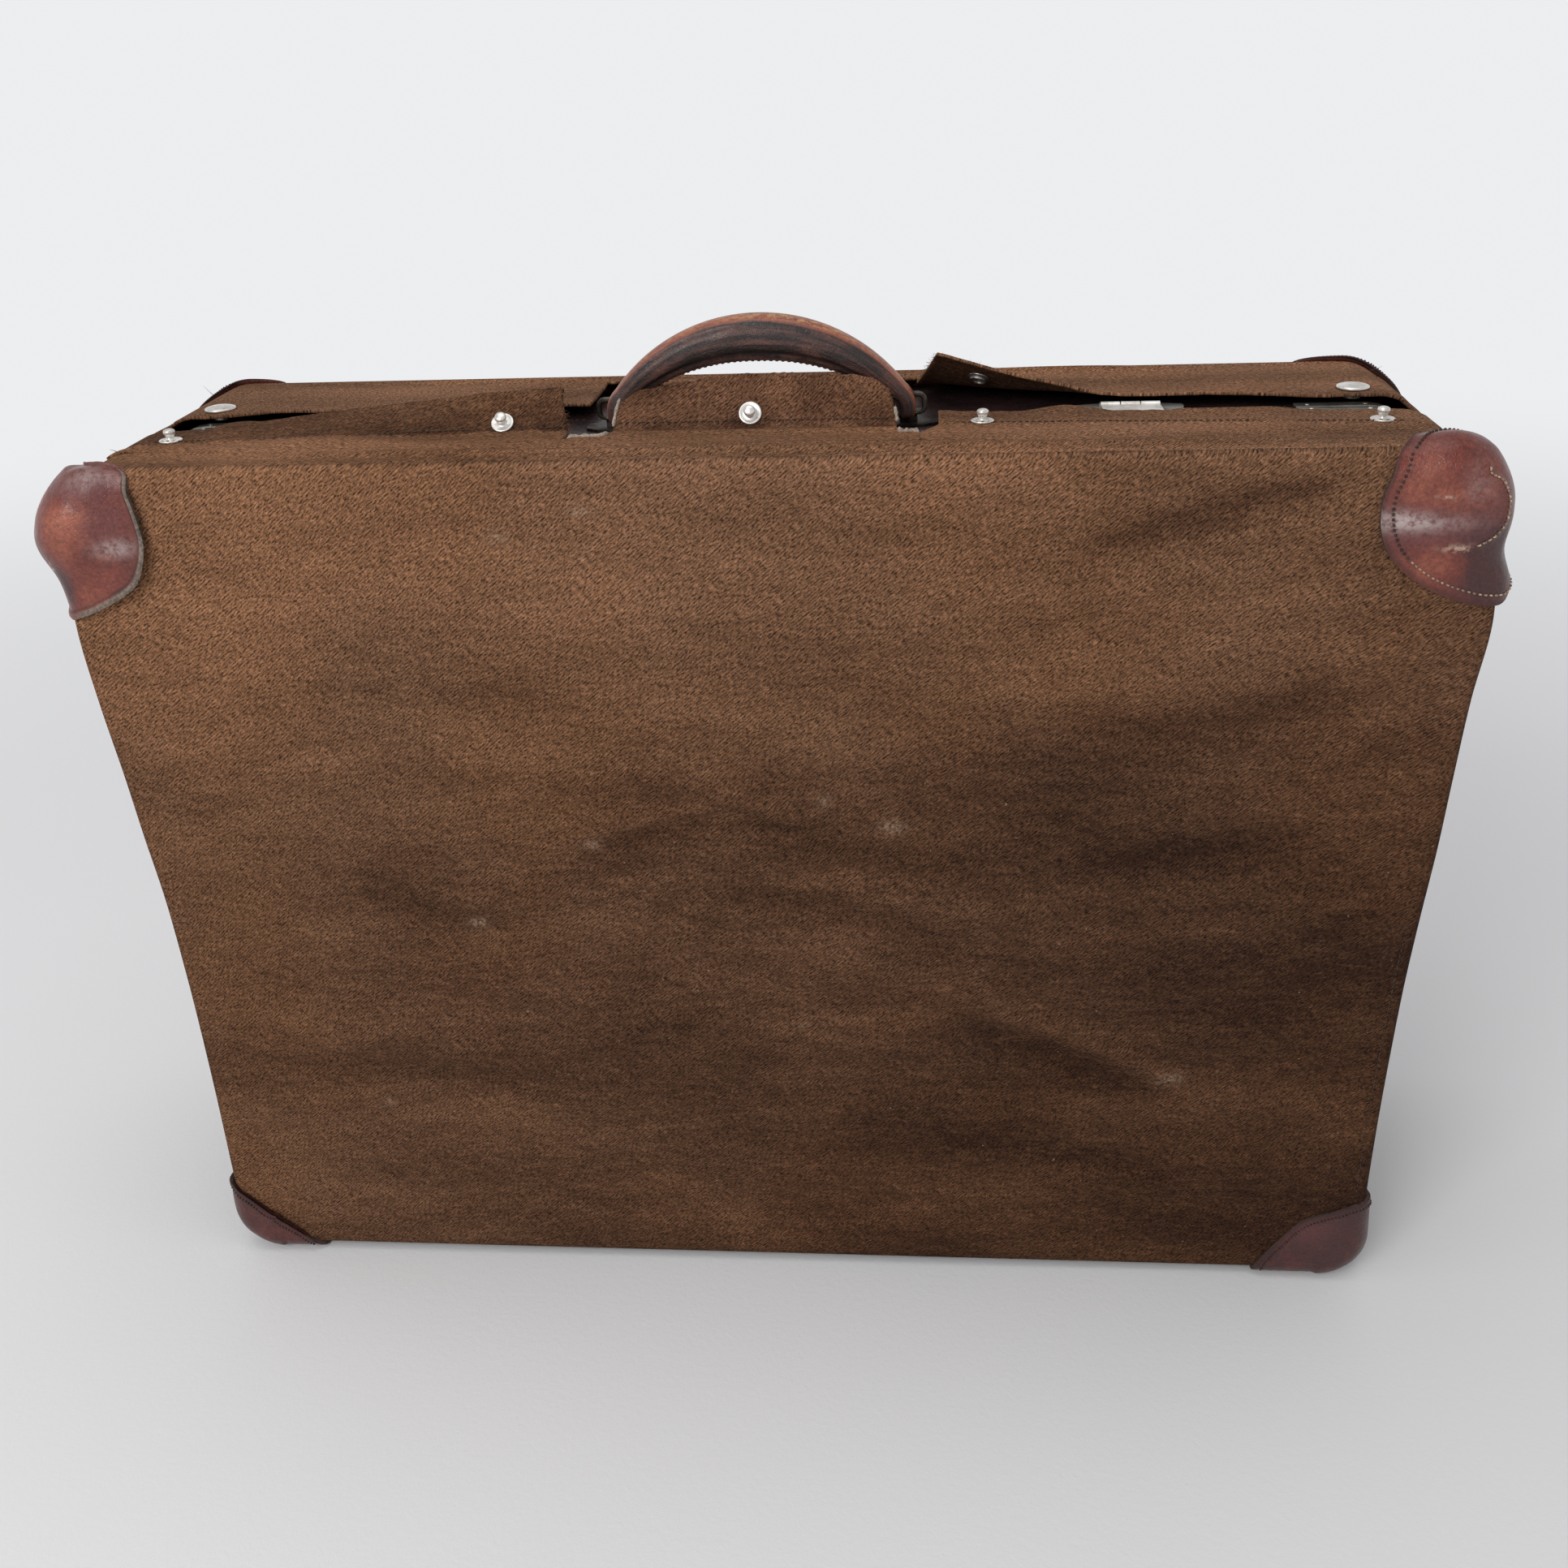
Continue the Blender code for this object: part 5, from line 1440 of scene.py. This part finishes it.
def grip():
    """The leather grip and its two rows of thread."""
    turns = np.linspace(-GRIP_END, GRIP_END, 151)
    sides = 72
    points, tones, rims, scuffs = [], [], [], []
    for turn in turns:
        (x, z), (out_x, out_z), thick, wide = grip_station(turn)
        closing = smooth_step(np.array((GRIP_END - abs(turn)) / math.radians(3.0)))
        size = 0.35 + 0.65 * math.sqrt(float(closing))
        for k in range(sides):
            around = 2 * math.pi * k / sides
            angle = math.degrees(around if around <= math.pi else 2 * math.pi - around)
            reach = grip_square(around) * size
            bump = grip_bump(angle) * min(1.0, thick / 0.018)
            n = (thick / 2 * reach + bump) * math.cos(around)
            b = (wide / 2 * reach + bump) * math.sin(around)
            points.append((x + out_x * n, HANDLE_PIVOT.y + b, z + out_z * n))
            band = 1 - smooth_step(np.array((angle - 40) / 12))
            lip = smooth_step(np.array((angle - 136) / 8))
            tones.append(0.10 + 0.66 * float(band) + 0.16 * float(lip) + 0.10 * (abs(turn) > 0.78))
            rims.append(0.9 * math.exp(-(((angle - 128) / 6) ** 2)))
            top = 1 - smooth_step(np.array((angle - 26) / 20))
            scuffs.append(1.1 * float(top) * (0.45 + 0.55 * math.exp(-(((turn - 0.20) / 0.40) ** 2))))
    points = np.array(points)
    turn_grid = np.repeat(turns, sides)
    around_grid = np.tile(np.arange(sides) * 2 * math.pi / sides, len(turns))
    faces = grid_faces(len(turns), sides, wrap=True)
    faces = [face[::-1] for face in faces]
    faces += [tuple(range(sides)), tuple((len(turns) - 1) * sides + k for k in range(sides - 1, -1, -1))]
    piece = to_object("handle_grip_hide", points, faces, ["grip"])
    unrolled = np.stack([turn_grid * HANDLE_ARC, 0.011 * around_grid, points[:, 1]], axis=1)
    paint(piece, place=unrolled, tone=np.array(tones), rim=np.array(rims), scuff=np.array(scuffs),
          plum=np.zeros(len(points)), raw=np.zeros(len(points)), shine=np.zeros(len(points)))
    stand_for(piece, "handle", "grip_leather", "handle_grip")
    runs = []
    for sign in (-1, 1):
        at, out = [], []
        for turn in np.linspace(-0.80, 0.80, 160):
            (x, z), (out_x, out_z), thick, wide = grip_station(turn)
            around = math.radians(GRIP_ZONES[2])
            square = grip_square(around)
            n = (thick / 2 * square + 0.0009) * math.cos(around)
            b = sign * (wide / 2 * square + 0.0009) * math.sin(around)
            at.append((x + out_x * n, HANDLE_PIVOT.y + b, z + out_z * n))
            along = 0.3 * math.cos(around)
            out.append((out_x * along, sign * math.sin(around), out_z * along))
        runs.append((at, out))
    stitches("handle_thread", runs, "handle", "grip_leather", "dark_thread", 0.0030, 0.00034)


# The case, its fittings and the kept CAD metal.

KEPT_METAL = {
    "nickel": ["lock_box", "hasp", "hasp_plate"],
    "rail": ["corner_guard_base", "corner_guard_lid"],
    # The handle's rings and brackets take the very dark metal: painted shade.
    "painted_shade_metal": ["handle_ring", "handle_bracket"],
    "steel": ["hasp_pin", "hinge_leaf_base", "hinge_leaf_lid", "hinge_pin"],
}


def dress(node, material, bevel):
    """Gives a CAD node that stays in view its finish and soft edges."""
    piece = NODES[node]
    for index in range(len(piece.material_slots)):
        piece.material_slots[index].material = MATERIALS[material]
    soft = piece.modifiers.new("soft_edges", "BEVEL")
    soft.width = bevel
    soft.segments = 2
    soft.limit_method = "ANGLE"
    soft.angle_limit = math.radians(35)


def kept_metal():
    for material, kinds in KEPT_METAL.items():
        for kind in kinds:
            for side in SIDES:
                dress(f"{kind}_{side}", material, 0.00022)
    for node in ("case_base_shell", "case_lid_shell"):
        dress(node, "case_plain", 0.0008)


def domes(name, places, radius, height, body, slot, material):
    """Rows of small domed nail or rivet heads, upright, at the given points."""
    vertices, faces = [], []
    profile = [(radius, 0.0), (radius, 0.15 * height), (0.86 * radius, 0.55 * height),
               (0.5 * radius, 0.9 * height), (0.0, height)]
    for point in places:
        ring, skin = turned(profile, Matrix.Translation(point), 16)
        base = len(vertices)
        vertices += ring
        faces += [tuple(base + f for f in face) for face in skin]
    stand_for(to_object(name, vertices, faces, [material]), body, slot)


STITCHED = ((-0.255, -0.205), (-0.160, -0.095), (-0.055, 0.050), (0.092, 0.150), (0.215, 0.262))


def case_details():
    """Stitches along both halves' rims, nails in the edge strips and rivets in the locks."""
    base_box, lid_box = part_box("case_base_shell"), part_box("case_lid_shell")
    top = base_box[1].z
    split = lid_box[0].y
    runs = []
    for y in (split - 0.0048, split + 0.0048):
        for start, end in STITCHED:
            xs = np.linspace(start, end, 20)
            at = np.stack([xs, np.full(20, y), np.full(20, top + 0.0001)], axis=1)
            runs.append((at, np.tile([0, 0, 1.0], (20, 1))))
    stitches("case_stitches", runs, ROOT, "case_leather", "dark_thread", 0.0032, 0.00032)
    nails = []
    for side, sign in SIDES.items():
        guard_low, guard_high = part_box(f"corner_guard_base_{side}")
        near, far = min(abs(guard_low.x), abs(guard_high.x)), SHOULDER - 0.004
        for x in (near + 0.006, far):
            nails.append((sign * x, (guard_low.y + guard_high.y) / 2, guard_high.z))
            lid_low, lid_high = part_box(f"corner_guard_lid_{side}")
            nails.append((sign * x, (lid_low.y + lid_high.y) / 2, lid_high.z))
    domes("edge_strip_nails", nails, 0.0013, 0.0006, ROOT, "nickel", "nickel")
    for side in SIDES:
        low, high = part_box(f"lock_box_{side}")
        y = low.y + 0.35 * (high.y - low.y)
        middle = (low.x + high.x) / 2
        spots = [(middle + dx, y, plate_top(f"lock_box_{side}")) for dx in (-0.0145, 0.0145)]
        domes(f"lock_rivets_{side}", spots, 0.0018, 0.0009, ROOT, "nickel", "nickel")


def torn_patches():
    """Tan leather showing where the case's dark face has torn beside the left edge strip."""
    guard_low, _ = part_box("corner_guard_base_left")
    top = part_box("case_base_shell")[1].z
    draw = np.random.default_rng(17)
    vertices, faces = [], []
    for start in (-0.303, -0.291, -0.281, -0.270):
        xs = np.linspace(start, start + draw.uniform(0.007, 0.0095), 9)
        rear = guard_low.y - 0.0006 - draw.uniform(0, 0.0008, 9)
        front = rear - draw.uniform(0.0030, 0.0075, 9) * np.sin(np.linspace(0.25, math.pi - 0.25, 9))
        base = len(vertices)
        for x, near, far in zip(xs, rear, front):
            section = ((near, 0.0002), (near, 0.0009), (far, 0.0007), (far, 0.0001))
            vertices += [(x, y, top + up) for y, up in section]
        faces += [tuple(base + f for f in face) for face in grid_faces(9, 4, wrap=True)]
        faces += [(base + 3, base + 2, base + 1, base), tuple(base + 32 + k for k in range(4))]
    stand_for(to_object("torn_leather", vertices, faces, ["tan_tear"]), ROOT, "case_leather")


def plate_top(node):
    """Height of the lowest flat upper face of a fitting."""
    faces = [face for face in NODES[node].data.polygons if face.normal.z > 0.99]
    return min(face.center.z for face in faces)


# Sewn lines, raw edges and loose threads of the cover.


def ribbon(name, path, across, width, thick, body, slot, material):
    """A narrow strip of raw cloth edge along a path, rounded and a little uneven."""
    path, across = np.asarray(path, float), np.asarray(across, float)
    ahead = np.gradient(path, axis=0)
    ahead /= np.linalg.norm(ahead, axis=1)[:, None]
    up = np.cross(ahead, across)
    up /= np.linalg.norm(up, axis=1)[:, None]
    count, sides = len(path), 10
    wobble = 1 + 0.16 * ripples(np.arange(count) * 0.001, np.zeros(count), 0.006, 1.0, 81)
    points = []
    for i in range(count):
        end = min(1.0, 0.3 + 0.35 * min(i, count - 1 - i))
        for k in range(sides):
            turn = 2 * math.pi * k / sides
            offset = across[i] * width / 2 * math.cos(turn) + up[i] * thick / 2 * math.sin(turn)
            points.append(path[i] + offset * wobble[i] * end)
    faces = grid_faces(count, sides, wrap=True)
    faces += [tuple(range(sides - 1, -1, -1)), tuple((count - 1) * sides + k for k in range(sides))]
    stand_for(to_object(name, points, faces, [material]), body, slot)


def notch_linings():
    """The pale raw edges that line both notches beside the handle."""
    spans = {
        "left": (FLAP_LEFT_END + 0.0016, TAB_LEFT - 0.0004),
        "right": (TAB_RIGHT + 0.0004, NOTCH_END - 0.0004),
    }
    for side, (start, end) in spans.items():
        xs = np.linspace(start, end, 26)
        sign = SIDES[side]
        y = notch_edge(xs) + 0.0002
        z = np.full(26, TOP - 0.0006)
        path = np.stack([xs, y, z], axis=1)
        across = np.tile([0, 0, 1.0], (26, 1))
        ribbon(f"notch_lining_{side}", path, across, 0.0040, 0.0016, ROOT, "canvas", "lining")
        reach = 0.0150 if side == "left" else 0.0085
        away = np.linspace(0.0010, reach, 18)
        edge = TAB_LEFT if side == "left" else TAB_RIGHT
        path = tab_points(np.full((1, 18), edge), away[None, :])[0]
        path[:, 0] += sign * 0.0002
        across = np.tile([0, -math.sin(TAB_LEAN), math.cos(TAB_LEAN)], (18, 1))
        ribbon(f"tab_lining_{side}", path, across, 0.0022, 0.0018, "front_centre_tab", "canvas", "lining")


def hem_run(xs, lift):
    """The hem's row of stitches on a front flap."""
    x, start = xs[None, :], FRONT_FOLD - BEND
    share = (front_edge(x) - HEM + HEM_THREAD - start) / (front_edge(x) - start)
    lean = 0.4 * lift(xs)
    up = np.stack([0 * xs, -np.sin(lean), np.cos(lean)], axis=1)
    return front_flap_points(x, share, lift)[0] + up * 0.0007, up


def sewn_lines():
    """The rows of stitches in the canvas."""
    run = hem_run(np.linspace(-0.300, FLAP_LEFT_END - 0.002, 120), left_lift)
    stitches("hem_thread_left", [run], "front_flap_left", "canvas")
    run = hem_run(np.linspace(FLAP_RIGHT_START + 0.002, 0.300, 120), no_lift)
    stitches("hem_thread_right", [run], "front_flap_right", "canvas")
    xs = np.linspace(TAB_LEFT + 0.002, TAB_RIGHT - 0.002, 90)
    at = tab_points(xs[None, :], np.full((1, 90), 0.0030))[0]
    up = np.tile([0, -math.sin(TAB_LEAN), math.cos(TAB_LEAN)], (90, 1))
    runs = [(at + up * 0.0001, up)]
    stitches("tab_thread", runs, "front_centre_tab", "canvas", pitch=0.0034, radius=0.00036)
    zs = np.linspace(0.056, 0.240, 90)
    at = settled(np.stack([np.full(90, HALF - 0.0075), np.full(90, FRONT - 0.0001), zs], axis=1))
    runs = [(at, np.tile([0, -1.0, 0], (90, 1)))]
    stitches("side_seam_thread", runs, ROOT, "canvas", pitch=0.0036, radius=0.00032)


def fray(places, surface, x, s, direction):
    """Adds a loose end of yarn at one x and share of a surface."""
    places.append((surface(np.array([[x]]), np.array([[s]]))[0, 0], direction))


def cut_left(x, s):
    points = front_flap_points(x, s, left_lift)
    points[..., 0] += end_cut("left", x, s)
    return points


def frayed_edges():
    """Loose yarn where the canvas was cut and never hemmed."""
    draw = np.random.default_rng(5)
    places = []
    for s in draw.uniform(0.45, 1.0, 46):
        fray(places, cut_left, FLAP_LEFT_END, s, (1.0, 0.2, -0.2))
    for x in draw.uniform(FLAP_LEFT_END - 0.016, FLAP_LEFT_END, 22):
        fray(places, cut_left, x, 1.0, (0.1, 0.6, 0.8))
    fibres("fray_left_flap", places, "front_flap_left", "canvas", "hem", length=0.0030, seed=6)
    places = []
    for away in draw.uniform(0.010, TAB_LENGTH, 24):
        fray(places, tab_points, TAB_RIGHT, away, (1.0, -0.3, 0.1))
    fibres("fray_tab", places, "front_centre_tab", "canvas", "hem", length=0.0026, seed=7)
    places = []
    for s in draw.uniform(0.35, 1.0, 40):
        fray(places, rear_right_points, FLAP_RIGHT_START, s, (-1.0, 0.0, 0.2))
    for x in draw.uniform(FLAP_RIGHT_START, FLAP_RIGHT_START + 0.05, 36):
        fray(places, rear_right_points, x, 1.0, (0.0, -1.0, 0.3))
    fibres("fray_rear_right", places, "rear_flap_right", "canvas", "hem", length=0.0024, seed=8)
    places = [
        ((-OPENING_END - 0.001, -0.052, TOP - 0.002), (-0.5, 0.0, 1.0)),
        ((-OPENING_END, 0.066, TOP - 0.002), (-0.6, 0, 0.8)),
        ((OPENING_END, 0.074, TOP - 0.002), (1.0, 0.0, 0.1)),
    ]
    fibres("loose_threads", places, ROOT, "canvas", "dark_thread", length=0.0075, radius=0.0002, seed=9)


# Light, floor and camera.


def floor_material():
    g = Graph("studio_floor")
    place = g.objects()
    cloud = g.noise(place, 1.2, 3.0)
    colour = g.mix(g.span(cloud, 0.3, 0.7), (0.80, 0.80, 0.805), (0.83, 0.83, 0.835))
    tooth = g.noise(place, 260, 3.0, 0.7)
    material = g.finish(colour, 0.82, g.bump(tooth, 0.0006, 0.35))
    away = g.vector("LENGTH", place)
    glow = g.nodes.new("ShaderNodeEmission")
    glow.inputs["Color"].default_value = (*BACKDROP, 1.0)
    join = g.nodes.new("ShaderNodeMixShader")
    g.feed(join.inputs["Fac"], g.span(away, 0.35, 2.4))
    g.links.new(g.shader.outputs[0], join.inputs[1])
    g.links.new(glow.outputs[0], join.inputs[2])
    g.links.new(join.outputs[0], g.nodes["Material Output"].inputs["Surface"])
    return material


def stage():
    bpy.ops.mesh.primitive_plane_add(size=30, location=(0, 0, 0))
    floor = bpy.context.object
    floor.name = "studio_floor"
    floor.data.materials.append(floor_material())
    world = bpy.data.worlds.new("soft_light")
    bpy.context.scene.world = world
    world.use_nodes = True
    tree = world.node_tree
    background = tree.nodes["Background"]
    turn = tree.nodes.new("ShaderNodeTexCoord")
    height = tree.nodes.new("ShaderNodeSeparateXYZ")
    tree.links.new(turn.outputs["Generated"], height.inputs[0])
    span = tree.nodes.new("ShaderNodeMapRange")
    span.inputs["From Min"].default_value = 0.05
    span.inputs["From Max"].default_value = 0.75
    tree.links.new(height.outputs["Z"], span.inputs["Value"])
    sky = tree.nodes.new("ShaderNodeMix")
    sky.data_type = "RGBA"
    sky.inputs[6].default_value = (*BACKDROP, 1.0)
    sky.inputs[7].default_value = (0.36, 0.36, 0.37, 1.0)
    tree.links.new(span.outputs["Result"], sky.inputs["Factor"])
    tree.links.new(sky.outputs[2], background.inputs["Color"])
    for name, place, target, size, power in LAMPS:
        light = bpy.data.lights.new(name, "AREA")
        light.size = size
        light.energy = power
        lamp = bpy.data.objects.new(name, light)
        lamp.location = place
        lamp.rotation_euler = (Vector(target) - Vector(place)).to_track_quat("-Z", "Y").to_euler()
        bpy.context.scene.collection.objects.link(lamp)


BACKDROP = (0.845, 0.85, 0.87)
LAMPS = [
    # Name, place, aim, size, power.
    ("window", (-0.9, -1.7, 1.5), (-0.05, 0.0, 0.30), 1.0, 20),
    ("ceiling", (-0.2, -0.1, 2.6), (0.0, 0.0, 0.0), 2.2, 18),
]


CAMERA_PLACE = (0.073, -0.769, 0.660)
CAMERA_TURNS = ((5.33, "Z"), (-26.88, "X"), (2.33, "Y"), (90, "X"))


def camera():
    """The photo's viewpoint, found by fitting the outline: the lens, the place and the turns."""
    data = bpy.data.cameras.new("photo_camera")
    data.sensor_width = 36
    data.lens = 35.05
    data.clip_end = 60
    made = bpy.data.objects.new("photo_camera", data)
    matrix = Matrix.Translation(CAMERA_PLACE)
    for degrees, axis in CAMERA_TURNS:
        matrix = matrix @ Matrix.Rotation(math.radians(degrees), 4, axis)
    made.matrix_world = matrix
    bpy.context.scene.collection.objects.link(made)
    bpy.context.scene.camera = made
    bpy.context.scene.view_settings.view_transform = "Standard"


def main():
    stage()
    camera()
    panel("cover_front_cloth", "cover_front_panel", FRONT, front_field)
    panel("cover_back_cloth", "cover_back_panel", BACK, back_field)
    gusset()
    top_strips()
    front_flaps()
    front_tab()
    rear_flaps()
    for name in CAPS:
        corner_cap(name)
    fasteners()
    grip()
    kept_metal()
    case_details()
    torn_patches()
    notch_linings()
    sewn_lines()
    frayed_edges()


main()
